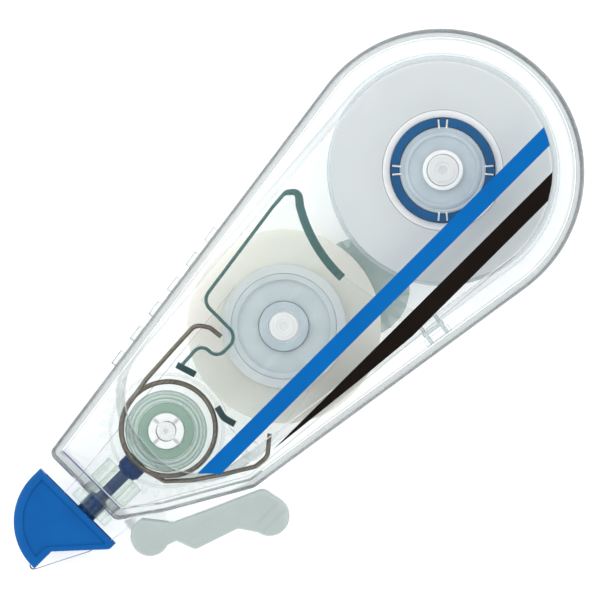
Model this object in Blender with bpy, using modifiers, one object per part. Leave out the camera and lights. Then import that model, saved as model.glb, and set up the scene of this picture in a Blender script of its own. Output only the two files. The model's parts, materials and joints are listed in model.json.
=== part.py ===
"""Correction tape roller: clear two-part case, two geared tape reels, spring brake, head and guard.

The roller lies on its rear case. The origin is on the supply reel's axis at the rear face, +X runs to
the round rear end, +Y to the edge with the grip bumps and +Z out of the printed front panel.
All numbers here are millimetres and degrees; MM turns them into metres where a mesh is made.
"""

import math

import bmesh
import bpy
from mathutils import Matrix, Vector

MM = 0.001
SEGMENTS = 40

# Case
THICKNESS = 16.0
SPLIT_Z = 7.6
WALL = 1.0
FRONT_STEP = 0.4
FLOOR = 1.2
REAR_RADIUS = 18.5
REAR_CENTRE_X = -0.4
TOP_TAPER = 8.0
BOTTOM_TAPER = 8.7
FRONT_X = -61.6
FRONT_LOW_Y = -2.1
LIP = (-56.6, -5.6)
HEEL_X = -46.0
RIM_Z = 14.4
RIM_ROUND = 0.6
PANEL_REAR_RADIUS = 15.3
PANEL_FRONT = (-44.0, 0.3)
PANEL_FRONT_RADIUS = 9.2
PANEL_TOP = (-43.4, 2.4)
PANEL_TOP_RADIUS = 9.6
RIB = 0.8
RIB_LOW = 5.2
GAP = 0.3

# Tape and the levels of the mechanism
TAPE_WIDTH = 6.0
TAPE_LOW = 4.6
TAPE_HIGH = TAPE_LOW + TAPE_WIDTH
TAPE_SOLID = 0.16
LOWER_GEARS = (1.9, 2.8)
UPPER_GEARS = (3.1, 4.0)
GUIDE_PIN = (-45.2, -9.2)
GUIDE_PIN_RADIUS = 0.8

# Gear train, all of one module
MODULE = 0.5
PRESSURE_ANGLE = 20.0
BACKLASH = 0.12
SUPPLY_TEETH = 50
IDLER_TEETH = 24
PINION_TEETH = 20
TAKEUP_TEETH = 48
BRAKE_TEETH = 33

# Reel centres: the supply reel is at the origin
TAKEUP_CENTRE = (-28.67, 0.26)
BRAKE_BEARING = 176.7

# Reels
ROLL_RADIUS = 14.4
CORE_RADIUS = 7.75
CLUTCH_RADIUS = 6.7
HUB_RADIUS = 5.45
HUB_TOP_RADIUS = 5.1
HUB_STEP_Z = 10.0
FLANGE_RADIUS = 14.9
FLANGE_Z = (3.8, 4.3)
TAKEUP_CORE_RADIUS = 6.8
TAKEUP_ROLL_RADIUS = 8.0
SUPPLY_POST = 2.0
TAKEUP_POST = 1.8
IDLER_POST = 1.4
IDLER_FLANGE = 6.45
IDLER_FLANGE_Z = (1.5, 1.7)
TAKEUP_FLANGE = 12.55
TAKEUP_FLANGE_Z = (4.2, 4.45)
BRAKE_RIM = (7.45, 7.1)
BRAKE_POST = 1.2

# Brake and its spring
DRUM_RADIUS = 5.5
DRUM_NECK = 3.6
DRUM_LEVEL = 10.9
DRUM_TOP = 13.0
SPRING_RADIUS = 6.3
SPRING_WIRE = 0.62
SPRING_LOW = 11.3
SPRING_PITCH = 0.64
SPRING_TURNS = 2.25
SPRING_POST = (-42.7, -8.0)
SPRING_POST_RADIUS = 0.9

# Chassis bridge
BRIDGE_Z = (11.0, 11.9)
BRIDGE_RIM_Z = (11.6, 12.9)
BRIDGE_ARC = 18.6
BRIDGE_RIM_ARC = 18.95
BRIDGE_RIM = 1.1
BRIDGE_HOOK = 0.45
BRIDGE_LUG = 0.85
BRIDGE_BRAKE_ARC = 8.0

# Head
STEM_Y = 1.29
STEM_Z = TAPE_LOW + TAPE_WIDTH / 2
STEM_RADIUS = 1.4
STEM_X = (-66.8, -54.1)
SLEEVE_X = (-63.3, -56.6)
SLEEVE_RADIUS = 3.0
NOSE_BACK_X = -63.8
NOSE_RADIUS = 8.2
NOSE_CENTRE_X = -65.2
NOSE_CHEEK = 0.7
NOSE_INNER = 6.4
TIP_X = -73.5
HUB_BACK_X = -65.0

# Guard
PIVOT = (-59.95, -6.7)
PIVOT_LOBE = 2.5
PIVOT_BOSS = 1.1
GUARD_END = (-47.2, -15.7)
GUARD_END_RADIUS = 2.57
GUARD_Z = (1.3, 13.9)
GUARD_CHEEK = 1.0
GUARD_SPINE = 0.9
GUARD_SKIN = 0.3
EAR_THICKNESS = 1.4
EAR_RADIUS = 2.0

COLOURS = {
    "clear": ((0.90, 0.93, 0.94), 0.08, 0.18),
    "bridge": ((0.30, 0.48, 0.47), 0.12, 0.45),
    "hub": ((0.66, 0.72, 0.77), 0.30, 1.0),
    "clutch": ((0.0, 0.09, 0.30), 0.35, 1.0),
    "core": ((0.86, 0.88, 0.88), 0.35, 1.0),
    "tape": ((0.68, 0.70, 0.71), 0.60, 1.0),
    "liner": ((0.72, 0.74, 0.72), 0.50, 1.0),
    "cream": ((0.87, 0.84, 0.74), 0.40, 1.0),
    "idler": ((0.55, 0.66, 0.64), 0.25, 0.8),
    "green": ((0.27, 0.42, 0.35), 0.30, 1.0),
    "white": ((0.88, 0.90, 0.90), 0.35, 1.0),
    "wire": ((0.17, 0.13, 0.09), 0.30, 1.0),
    "stem": ((0.0, 0.03, 0.14), 0.35, 1.0),
    "head": ((0.0, 0.12, 0.44), 0.35, 1.0),
    "guard": ((0.42, 0.50, 0.48), 0.35, 0.9),
}


# Scene helpers


def clear_scene():
    for obj in list(bpy.data.objects):
        bpy.data.objects.remove(obj, do_unlink=True)


def new_collection(name):
    collection = bpy.data.collections.new(name)
    bpy.context.scene.collection.children.link(collection)
    return collection


def material(name):
    colour, roughness, alpha = COLOURS[name]
    mat = bpy.data.materials.get(name) or bpy.data.materials.new(name)
    mat.use_nodes = True
    shader = mat.node_tree.nodes["Principled BSDF"]
    shader.inputs["Base Color"].default_value = (*colour, 1.0)
    shader.inputs["Roughness"].default_value = roughness
    shader.inputs["Metallic"].default_value = 1.0 if name == "wire" else 0.0
    shader.inputs["Alpha"].default_value = alpha
    return mat


def finish_part(obj, name, colour, origin=(0.0, 0.0, 0.0)):
    """Names a part, gives it its material, and moves a flat part's origin to its joint axis.

    A turned part already has its origin on its axis.
    """
    obj.name = name
    obj.data.name = name
    obj.data.materials.clear()
    obj.data.materials.append(material(colour))
    for collection in list(obj.users_collection):
        collection.objects.unlink(obj)
    PARTS.objects.link(obj)
    obj.data.shade_smooth()
    obj.data.set_sharp_from_angle(angle=math.radians(30))
    if any(origin) and not any(obj.location):
        obj.data.transform(Matrix.Translation(Vector(origin) * -MM))
        obj.location = Vector(origin) * MM
    return obj


def as_helper(obj):
    obj.hide_render = True
    obj.display_type = "WIRE"
    return obj


def boolean(target, tool, operation):
    modifier = target.modifiers.new(operation.title(), "BOOLEAN")
    modifier.operation = operation
    modifier.object = as_helper(tool)
    modifier.solver = "EXACT"
    return target


def cut(target, *tools):
    for tool in tools:
        boolean(target, tool, "DIFFERENCE")
    return target


def join(target, *tools):
    for tool in tools:
        boolean(target, tool, "UNION")
    return target


# Shape helpers


def polar(centre, radius, angle):
    return (
        centre[0] + radius * math.cos(math.radians(angle)),
        centre[1] + radius * math.sin(math.radians(angle)),
    )


def arc(centre, radius, start, end, steps):
    return [polar(centre, radius, start + (end - start) * i / steps) for i in range(steps + 1)]


def circle(centre, radius, steps=SEGMENTS):
    return arc(centre, radius, 0, 360, steps)[:-1]


def bearing(start, end):
    return math.degrees(math.atan2(end[1] - start[1], end[0] - start[0]))


def fillet(before, corner, after, radius, steps=3):
    """The round that replaces a corner of an outline."""
    into = (Vector(corner) - Vector(before)).normalized()
    out = (Vector(after) - Vector(corner)).normalized()
    turn = into.angle_signed(out)
    reach = radius * abs(math.tan(turn / 2))
    start = Vector(corner) - into * reach
    side = Vector((-into.y, into.x)) * (-1 if turn > 0 else 1)
    centre = start + side * radius
    first = bearing(centre, start)
    return arc(tuple(centre), radius, first, first - math.degrees(turn), steps)


def rounded(corners, steps=3):
    """A closed outline from (x, y, radius) corners; a corner with no radius stays sharp."""
    points = []
    for i, (x, y, radius) in enumerate(corners):
        before = corners[i - 1][:2]
        after = corners[(i + 1) % len(corners)][:2]
        points += fillet(before, (x, y), after, radius, steps) if radius else [(x, y)]
    return points


def inset(points, distance):
    """A counter-clockwise outline moved inwards, with mitred corners."""
    moved = []
    for i, point in enumerate(points):
        into = (Vector(point) - Vector(points[i - 1])).normalized()
        out = (Vector(points[(i + 1) % len(points)]) - Vector(point)).normalized()
        normal = Vector((-into.y - out.y, into.x + out.x)).normalized()
        mitre = distance / max(0.4, normal.dot(Vector((-into.y, into.x))))
        moved.append(tuple(Vector(point) + normal * mitre))
    return moved


def belt(circles, steps=20):
    """The outline of a belt round circles of (centre, radius), which go counter-clockwise as it does."""
    leaving = []
    for (centre, radius), (following, next_radius) in zip(circles, circles[1:] + circles[:1]):
        lean = math.degrees(math.acos((radius - next_radius) / math.dist(centre, following)))
        leaving.append(bearing(centre, following) - lean)
    outline = []
    for i, (centre, radius) in enumerate(circles):
        sweep = (leaving[i] - leaving[i - 1]) % 360
        count = max(2, round(steps * sweep / 180))
        outline += arc(centre, radius, leaving[i - 1], leaving[i - 1] + sweep, count)
    return outline


def plate(loops, low, high, name="tool"):
    """A flat plate from low to high in Z; loops inside the first are holes."""
    curve = bpy.data.curves.new(name, "CURVE")
    curve.dimensions = "2D"
    curve.fill_mode = "BOTH"
    curve.extrude = (high - low) / 2 * MM
    for loop in loops:
        spline = curve.splines.new("POLY")
        spline.points.add(len(loop) - 1)
        for point, (x, y) in zip(spline.points, loop):
            point.co = (x * MM, y * MM, 0.0, 1.0)
        spline.use_cyclic_u = True
    guide = bpy.data.objects.new(name, curve)
    guide.location.z = (low + high) / 2 * MM
    return curve_to_mesh(guide, name)


def curve_to_mesh(guide, name):
    """The curve's solid as a mesh object, with its caps welded on."""
    TOOLS.objects.link(guide)
    bpy.context.view_layer.update()
    graph = bpy.context.evaluated_depsgraph_get()
    mesh = bpy.data.meshes.new_from_object(guide.evaluated_get(graph), depsgraph=graph)
    mesh.transform(guide.matrix_world)
    shape = bmesh.new()
    shape.from_mesh(mesh)
    bmesh.ops.remove_doubles(shape, verts=shape.verts, dist=0.002 * MM)
    bmesh.ops.recalc_face_normals(shape, faces=shape.faces)
    shape.to_mesh(mesh)
    shape.free()
    bpy.data.objects.remove(guide, do_unlink=True)
    obj = bpy.data.objects.new(name, mesh)
    TOOLS.objects.link(obj)
    return obj


def round_rim(obj, level, width, segments=2):
    """Rounds the edges of a plate that lie at one level."""
    shape = bmesh.new()
    shape.from_mesh(obj.data)
    bmesh.ops.dissolve_limit(
        shape, angle_limit=math.radians(1), verts=shape.verts[:], edges=shape.edges[:]
    )
    rim = [
        edge
        for edge in shape.edges
        if all(abs(vert.co.z - level * MM) < 0.001 * MM for vert in edge.verts)
    ]
    bmesh.ops.bevel(
        shape, geom=rim, offset=width * MM, segments=segments, profile=0.5, affect="EDGES"
    )
    shape.to_mesh(obj.data)
    shape.free()
    return obj


def box(low, high, name="tool"):
    bpy.ops.mesh.primitive_cube_add(size=1)
    obj = bpy.context.object
    size = [(b - a) * MM for a, b in zip(low, high)]
    middle = [(a + b) / 2 * MM for a, b in zip(low, high)]
    obj.data.transform(Matrix.Translation(middle) @ Matrix.Diagonal((*size, 1.0)))
    obj.name = name
    move_to_tools(obj)
    return obj


def move_to_tools(obj):
    for collection in list(obj.users_collection):
        collection.objects.unlink(obj)
    TOOLS.objects.link(obj)


def cylinder(centre, radius, low, high, steps=24):
    """An upright cylinder."""
    bpy.ops.mesh.primitive_cylinder_add(
        vertices=steps,
        radius=radius * MM,
        depth=(high - low) * MM,
        location=(centre[0] * MM, centre[1] * MM, (low + high) / 2 * MM),
    )
    obj = bpy.context.object
    move_to_tools(obj)
    return obj


def turned(profile, centre=(0.0, 0.0), steps=SEGMENTS, name="turned"):
    """A solid of revolution about an upright axis.

    profile holds (radius, z) points, down the outer side first. One with radius 0 at both ends is open.
    """
    solid_core = profile[0][0] == 0
    count = len(profile)
    edges = [(i, i + 1) for i in range(count - 1)]
    if not solid_core:
        edges.append((count - 1, 0))
    mesh = bpy.data.meshes.new(name)
    mesh.from_pydata([(r * MM, 0.0, z * MM) for r, z in profile], edges, [])
    obj = bpy.data.objects.new(name, mesh)
    TOOLS.objects.link(obj)
    obj.location = (centre[0] * MM, centre[1] * MM, 0.0)
    screw = obj.modifiers.new("Turn", "SCREW")
    screw.steps = steps
    screw.render_steps = steps
    screw.use_merge_vertices = True
    screw.merge_threshold = 0.00001
    return obj


def lay_along_x(obj, start, y, z):
    """Turns an upright solid whose z runs from 0 so that it starts at x = start and runs along +X."""
    obj.rotation_euler = (0.0, math.radians(90), 0.0)
    obj.location = (start * MM, y * MM, z * MM)
    return obj


def wire(points, radius, name):
    """A round wire along hand-placed or computed points, in millimetres."""
    curve = bpy.data.curves.new(name, "CURVE")
    curve.dimensions = "3D"
    curve.bevel_depth = radius * MM
    curve.bevel_resolution = 2
    curve.use_fill_caps = True
    spline = curve.splines.new("POLY")
    spline.points.add(len(points) - 1)
    for point, place in zip(spline.points, points):
        point.co = (*[value * MM for value in place], 1.0)
    obj = bpy.data.objects.new(name, curve)
    return curve_to_mesh(obj, name)


def strip_outline(points, width):
    """The closed outline of a strip along an open path, of one width or of a width for each point."""
    widths = width if isinstance(width, list) else [width] * len(points)
    left = []
    right = []
    for i, point in enumerate(points):
        before = Vector(points[max(0, i - 1)])
        after = Vector(points[min(len(points) - 1, i + 1)])
        along = (after - before).normalized()
        side = Vector((-along.y, along.x)) * widths[i] / 2
        left.append(tuple(Vector(point) + side))
        right.append(tuple(Vector(point) - side))
    return right + left[::-1]


def ribbon(points, name):
    """A strip of tape on edge, along its path in plan."""
    return plate([strip_outline(points, TAPE_SOLID)], TAPE_LOW, TAPE_HIGH, name)


# Gears


def pitch_radius(teeth):
    return MODULE * teeth / 2


def involute(angle):
    return math.tan(angle) - angle


def gear_outline(centre, teeth, turn):
    """A gear with a tooth pointing along turn; a straight flank joins the root and the tip of an involute."""
    pitch = pitch_radius(teeth)
    pressure = math.radians(PRESSURE_ANGLE)
    base = pitch * math.cos(pressure)
    half_tooth = (math.pi * MODULE / 2 - BACKLASH / 2) / (2 * pitch)
    flank = []
    for radius in (pitch - 1.25 * MODULE, pitch + MODULE):
        at = math.acos(min(1.0, base / radius))
        half = half_tooth + involute(pressure) - involute(at)
        flank.append((radius, math.degrees(half)))
    points = []
    for tooth in range(teeth):
        middle = turn + 360 * tooth / teeth
        points += [polar(centre, radius, middle - half) for radius, half in flank]
        points += [polar(centre, radius, middle + half) for radius, half in reversed(flank)]
    return points


def meshing_turn(teeth, turn, centre, other_centre, other_teeth):
    """The turn of the gear at other_centre that puts its gap on this gear's tooth."""
    line = bearing(centre, other_centre)
    phase = (line - turn) * teeth / 360
    return line + 180 + (phase % 1.0 + 0.5) * 360 / other_teeth


def gear(centre, teeth, turn, levels, bore, name):
    loops = [gear_outline(centre, teeth, turn)]
    if bore:
        loops.append(circle(centre, bore, 24))
    return plate(loops, *levels, name)


def idler_centre():
    """Where the idler meshes with the supply gear and the take-up pinion, below the line of centres."""
    to_supply = pitch_radius(SUPPLY_TEETH) + pitch_radius(IDLER_TEETH)
    to_takeup = pitch_radius(IDLER_TEETH) + pitch_radius(PINION_TEETH)
    span = math.dist((0, 0), TAKEUP_CENTRE)
    along = (to_supply**2 - to_takeup**2 + span**2) / (2 * span)
    across = math.sqrt(to_supply**2 - along**2)
    line = bearing((0, 0), TAKEUP_CENTRE)
    return polar(polar((0, 0), along, line), across, line + 90)


IDLER_CENTRE = idler_centre()
BRAKE_CENTRE = polar(
    TAKEUP_CENTRE, pitch_radius(TAKEUP_TEETH) + pitch_radius(BRAKE_TEETH), BRAKE_BEARING
)
SUPPLY_TURN = 0.0
IDLER_TURN = meshing_turn(SUPPLY_TEETH, SUPPLY_TURN, (0, 0), IDLER_CENTRE, IDLER_TEETH)
PINION_TURN = meshing_turn(IDLER_TEETH, IDLER_TURN, IDLER_CENTRE, TAKEUP_CENTRE, PINION_TEETH)
TAKEUP_TURN = 0.0
BRAKE_TURN = meshing_turn(TAKEUP_TEETH, TAKEUP_TURN, TAKEUP_CENTRE, BRAKE_CENTRE, BRAKE_TEETH)


# Case


def top_edge_y(x):
    """Height of the case's upper edge, a line tangent to the rear round."""
    tangent = polar((REAR_CENTRE_X, 0.0), REAR_RADIUS, 90 + TOP_TAPER)
    return tangent[1] + (x - tangent[0]) * math.tan(math.radians(TOP_TAPER))


def bottom_edge_y(x):
    tangent = polar((REAR_CENTRE_X, 0.0), REAR_RADIUS, -90 - BOTTOM_TAPER)
    return tangent[1] - (x - tangent[0]) * math.tan(math.radians(BOTTOM_TAPER))


def case_outline(shrink=0.0, step=0.0):
    """The case in plan, counter-clockwise, or a line inside it, with a thicker front wall by step."""
    centre = (REAR_CENTRE_X, 0.0)
    start = -90 - BOTTOM_TAPER
    end = 90 + TOP_TAPER
    corners = [
        polar(centre, REAR_RADIUS, end),
        (FRONT_X, top_edge_y(FRONT_X)),
        (FRONT_X, FRONT_LOW_Y),
        LIP,
        (HEEL_X, bottom_edge_y(HEEL_X)),
        polar(centre, REAR_RADIUS, start),
    ]
    inner = inset(corners, shrink)[1:-1]
    inner[0] = (inner[0][0] + step, inner[0][1] + step * math.tan(math.radians(TOP_TAPER)))
    inner[1] = (inner[1][0] + step, inner[1][1])
    radii = [max(0.3, radius - shrink) for radius in (1.0, 1.2, 2.0, 2.5)]
    rear = arc(centre, REAR_RADIUS - shrink, start, end, 36)
    path = [rear[-1], *inner, rear[0]]
    rounds = []
    for i, radius in enumerate(radii):
        rounds += fillet(path[i], path[i + 1], path[i + 2], radius)
    return rear + rounds


def panel_outline(grow=0.0):
    return belt([
        ((REAR_CENTRE_X, 0.0), PANEL_REAR_RADIUS + grow),
        (PANEL_TOP, PANEL_TOP_RADIUS + grow),
        (PANEL_FRONT, PANEL_FRONT_RADIUS + grow),
    ])


def grip_bumps(low, high):
    """Six finger bumps along the upper edge, each a bar across the case's thickness."""
    bumps = []
    for i in range(6):
        x = -46.6 + 3.93 * i
        y = top_edge_y(x)
        bump = box((-1.05, -0.8, low), (1.05, 0.62, high))
        bump.rotation_euler.z = math.radians(TOP_TAPER)
        bump.location = (x * MM, y * MM, 0.0)
        bumps.append(bump)
    return bumps


def head_openings():
    """The bush hole, the liner slit and the tape exit in the front wall."""
    hole = lay_along_x(cylinder_at_origin(SLEEVE_RADIUS - 0.3, 3.4, 30), FRONT_X - 1.0, STEM_Y, STEM_Z)
    slit = box((FRONT_X - 1, 4.5, TAPE_LOW - 0.4), (FRONT_X + 2.4, 5.7, TAPE_HIGH + 0.4))
    tape_exit = plate(
        [[(-60.4, -1.8), (-60.4, -5.0), (-57.4, -6.0), (-57.4, -2.5)]],
        TAPE_LOW - 0.4,
        TAPE_HIGH + 0.4,
    )
    return hole, slit, tape_exit


def cylinder_at_origin(radius, length, steps=24):
    """A cylinder from z = 0 up to length, ready to be laid down."""
    obj = cylinder((0, 0), radius, -length / 2, length / 2, steps)
    obj.data.transform(Matrix.Translation((0.0, 0.0, length / 2 * MM)))
    obj.location = (0.0, 0.0, 0.0)
    return obj


def ear(low, high, boss_low, boss_high):
    """A lug that carries one side of the guard, with its round boss."""
    neck = plate(
        [[(-61.0, -2.9), (-61.4, -6.0), (-58.6, -7.9), (-56.2, -5.8), (-57.2, -4.4)]],
        low,
        high,
    )
    lobe = cylinder(PIVOT, EAR_RADIUS, low, high)
    boss = cylinder(PIVOT, PIVOT_BOSS, boss_low, boss_high, 20)
    return neck, lobe, boss


def chamber_ribs():
    """The wall round the supply chamber, up to the raised panel, in two lengths that overlap."""
    side = [(-8.4, 13.6), (-13.4, 12.9), (-13.8, 10.6)]
    front = [(-13.75, 10.9), (-16.3, 5.5), (-16.9, 0.0), (-16.6, -3.9)]
    return (
        plate([strip_outline(side, RIB)], RIB_LOW, THICKNESS - WALL + 0.25),
        plate([strip_outline(front, RIB)], RIB_LOW + 0.1, THICKNESS - WALL + 0.3),
    )


def build_rear_case():
    top = SPLIT_Z - GAP / 2
    shell = round_rim(plate([case_outline()], 0.0, top, "rear_case"), 0.0, RIM_ROUND)
    cut(shell, plate([case_outline(WALL, FRONT_STEP)], FLOOR, top + 2))
    join(shell, *grip_bumps(1.6, top - 0.3))
    ear_low = GUARD_Z[0] + GUARD_CHEEK + GAP
    join(shell, *ear(ear_low, ear_low + EAR_THICKNESS, GUARD_Z[0] + GUARD_SKIN + 0.15, ear_low + 0.5))
    join(
        shell,
        cylinder((0, 0), SUPPLY_POST, FLOOR - 0.4, 12.4),
        cylinder(TAKEUP_CENTRE, TAKEUP_POST, FLOOR - 0.4, 12.4),
        cylinder(IDLER_CENTRE, IDLER_POST, FLOOR - 0.4, LOWER_GEARS[1] + 0.1),
        cylinder(BRAKE_CENTRE, BRAKE_POST, FLOOR - 0.4, DRUM_TOP + 0.2),
        cylinder(GUIDE_PIN, GUIDE_PIN_RADIUS, FLOOR - 0.4, TAPE_HIGH + 0.3, 16),
    )
    cut(shell, *head_openings())
    cut(shell, cylinder((0, 0), 0.6, 10.0, 13.0, 16))
    finish_part(shell, "rear_case", "clear")


def build_front_case():
    low = SPLIT_Z + GAP / 2
    shell = round_rim(plate([case_outline()], low, RIM_Z, "front_case"), RIM_Z, RIM_ROUND)
    join(shell, round_rim(plate([panel_outline()], RIM_Z - 0.5, THICKNESS), THICKNESS, 0.4))
    cut(shell, plate([case_outline(WALL, FRONT_STEP)], low - 2, RIM_Z - WALL))
    cut(shell, plate([panel_outline(-WALL)], RIM_Z - WALL - 0.5, THICKNESS - WALL))
    join(shell, *grip_bumps(low + 0.3, RIM_Z - 1.6))
    ear_high = GUARD_Z[1] - GUARD_CHEEK - GAP
    boss_top = GUARD_Z[1] - GUARD_SKIN - 0.15
    join(shell, *ear(ear_high - EAR_THICKNESS, ear_high, ear_high - 0.5, boss_top))
    join(shell, *chamber_ribs())
    x = -15.6
    y = bottom_edge_y(x) + WALL
    tab = box((-1.9, GAP, SPLIT_Z - 3.2), (1.9, GAP + 0.9, low + 2.0))
    foot = box((-1.5, -0.4, low + 0.6), (1.5, GAP + 0.5, low + 1.8))
    for piece in (tab, foot):
        piece.rotation_euler.z = -math.radians(BOTTOM_TAPER)
        piece.location = (x * MM, y * MM, 0.0)
    join(shell, tab, foot)
    cut(shell, *head_openings())
    finish_part(shell, "front_case", "clear")


# Chassis bridge


def bridge_outline():
    """The frame between the reels, counter-clockwise: concave round the supply reel and round the brake."""
    brake = BRAKE_CENTRE
    return (
        arc((0, 0), BRIDGE_ARC, 199, 146, 12)
        + [(-15.9, 11.9), (-17.3, 12.6)]
        + [(-33.8, 10.1), (-33.8, 5.4), (-35.0, 3.8), (-36.8, 3.8), (-37.8, 4.8), (-38.0, 6.4)]
        + [(-39.6, 6.4)]
        + arc(brake, BRIDGE_BRAKE_ARC, 26, -40, 8)
        + arc(SPRING_POST, 1.5, 100, 290, 6)
        + [(-30.0, -7.6), (-22.0, -7.2)]
    )


def bridge_rim():
    """The upright edge: wide along the supply reel, then thin along the top and round the spring's pocket."""
    wide = arc((0, 0), BRIDGE_RIM_ARC, 182, 149, 12)
    corner = fillet(wide[-1], (-15.05, 11.2), (-16.4, 12.3), 0.5, 4)
    corner += fillet((-15.05, 11.2), (-16.4, 12.3), (-19.0, 12.1), 0.5, 4)
    thin = [(-19.0, 12.1)]
    hook = [(-33.8, 10.0), (-33.8, 3.4), (-37.7, 3.4), (-37.7, 6.2), (-41.4, 6.0)]
    for before, bend, after in zip([thin[0]] + hook, hook, hook[1:]):
        thin += fillet(before, bend, after, 1.3, 4)
    thin.append(hook[-1])
    shrink = (BRIDGE_RIM - BRIDGE_HOOK) / len(corner)
    widths = [BRIDGE_RIM] * len(wide)
    widths += [BRIDGE_RIM - shrink * (i + 1) for i in range(len(corner))]
    widths += [BRIDGE_HOOK] * len(thin)
    return plate([strip_outline(wide + corner + thin, widths)], *BRIDGE_RIM_Z)


def bridge_lugs():
    """Two lugs that hold the bridge's edge stiff beside the brake drum."""
    upper = [(-41.9, 6.5), (-41.4, 4.9), (-41.1, 3.9)]
    lower = [(-42.05, -1.3), (-42.45, -2.7), (-42.0, -4.2)]
    low = BRIDGE_RIM_Z[0] + 0.05
    high = BRIDGE_RIM_Z[1] - 0.1
    return [plate([strip_outline(path, BRIDGE_LUG)], low, high) for path in (upper, lower)]


def build_chassis_bridge():
    outline = bridge_outline()
    hole = circle(TAKEUP_CENTRE, TAKEUP_POST + 0.4, 24)
    body = plate([outline[::-1], hole], *BRIDGE_Z, "chassis_bridge")
    leg_top = BRIDGE_Z[0] + 0.4
    legs = [
        cylinder((-15.9, 10.9), 0.9, FLOOR + GAP, leg_top, 16),
        cylinder((-15.8, -11.0), 0.9, FLOOR + GAP, leg_top, 16),
        cylinder(SPRING_POST, SPRING_POST_RADIUS, FLOOR + GAP, DRUM_TOP, 20),
    ]
    arm = plate([[(-17.6, -5.9), (-19.4, -7.0), (-16.6, -11.6), (-15.0, -10.4)]], *BRIDGE_Z)
    join(body, bridge_rim(), *bridge_lugs(), arm, *legs)
    finish_part(body, "chassis_bridge", "bridge")


# Supply reel


def ring(outer, inner, low, high, centre, name, steps=SEGMENTS):
    return turned([(outer, high), (outer, low), (inner, low), (inner, high)], centre, steps, name)


def build_supply_reel():
    bore = SUPPLY_POST + 0.15
    wheel = gear((0, 0), SUPPLY_TEETH, SUPPLY_TURN, LOWER_GEARS, bore, "supply_gear")
    foot = LOWER_GEARS[1] - 0.3
    hub = turned(
        [(4.5, 11.4), (HUB_TOP_RADIUS, 10.9), (HUB_TOP_RADIUS, HUB_STEP_Z), (HUB_RADIUS, HUB_STEP_Z),
         (HUB_RADIUS, foot), (4.2, foot), (4.2, 10.2), (bore, 10.2), (bore, 11.8), (2.7, 11.8),
         (2.9, 11.1), (4.3, 11.1)],
        steps=28,
    )
    finish_part(join(wheel, hub), "supply_gear", "hub")

    clutch = ring(CLUTCH_RADIUS, HUB_RADIUS + 0.25, UPPER_GEARS[0], 11.6, (0, 0), "clutch_ring")
    for i in range(4):
        for side in (-5, 5):
            slot = box((HUB_RADIUS, -0.16, 9.4), (CLUTCH_RADIUS + 0.5, 0.16, 13))
            slot.rotation_euler.z = math.radians(45 + 90 * i + side)
            cut(clutch, slot)
    finish_part(clutch, "clutch_ring", "clutch")

    bore = CLUTCH_RADIUS + 0.25
    core = turned(
        [(CORE_RADIUS, TAPE_HIGH + 0.2), (CORE_RADIUS, FLANGE_Z[1]), (FLANGE_RADIUS, FLANGE_Z[1]),
         (FLANGE_RADIUS, FLANGE_Z[0]), (bore, FLANGE_Z[0]), (bore, TAPE_HIGH + 0.2)],
        steps=48,
    )
    finish_part(core, "supply_core", "core")
    roll = ring(ROLL_RADIUS, CORE_RADIUS + 0.2, TAPE_LOW, TAPE_HIGH, (0, 0), "supply_roll", 48)
    finish_part(roll, "supply_roll", "tape")


# Idler and take-up reel


def build_idler():
    bore = IDLER_POST + 0.15
    wheel = gear(IDLER_CENTRE, IDLER_TEETH, IDLER_TURN, LOWER_GEARS, bore, "idler_gear")
    low, high = IDLER_FLANGE_Z
    neck = 4.8
    flange = turned(
        [(neck, high + 0.4), (neck, high), (IDLER_FLANGE, high), (IDLER_FLANGE, low), (bore + 0.05, low),
         (bore + 0.05, high + 0.4)],
        IDLER_CENTRE,
    )
    join(wheel, flange)
    finish_part(wheel, "idler_gear", "idler", (*IDLER_CENTRE, 0.0))


def build_takeup_reel():
    axis = (*TAKEUP_CENTRE, 0.0)
    bore = TAKEUP_POST + 0.15
    pinion = gear(TAKEUP_CENTRE, PINION_TEETH, PINION_TURN, LOWER_GEARS, bore, "takeup_pinion")
    shaft = ring(3.0, bore, LOWER_GEARS[1] - 0.3, TAPE_HIGH + 0.1, TAKEUP_CENTRE, "shaft", 24)
    finish_part(join(pinion, shaft), "takeup_pinion", "white", axis)

    wheel = gear(TAKEUP_CENTRE, TAKEUP_TEETH, TAKEUP_TURN, UPPER_GEARS, 3.25, "takeup_gear")
    low, high = TAKEUP_FLANGE_Z
    neck = 11.0
    foot = UPPER_GEARS[1] - 0.2
    flange = turned(
        [(TAKEUP_FLANGE, high), (TAKEUP_FLANGE, low), (neck, low), (neck, foot), (3.35, foot), (3.35, high)],
        TAKEUP_CENTRE,
        48,
    )
    join(wheel, flange)
    finish_part(wheel, "takeup_gear", "cream", axis)

    inside = TAKEUP_CORE_RADIUS - 0.8
    core_low = TAKEUP_FLANGE_Z[1] + GAP
    core = turned(
        [(TAKEUP_CORE_RADIUS, TAPE_HIGH), (TAKEUP_CORE_RADIUS, core_low), (inside, core_low),
         (inside, 9.0), (3.25, 9.0), (3.25, 9.9), (inside, 9.9), (inside, TAPE_HIGH)],
        TAKEUP_CENTRE,
    )
    finish_part(core, "takeup_core", "hub", axis)
    windings = ring(
        TAKEUP_ROLL_RADIUS, TAKEUP_CORE_RADIUS + 0.2, TAPE_LOW, TAPE_HIGH, TAKEUP_CENTRE, "takeup_roll"
    )
    finish_part(windings, "takeup_roll", "liner", axis)


# Brake


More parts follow.
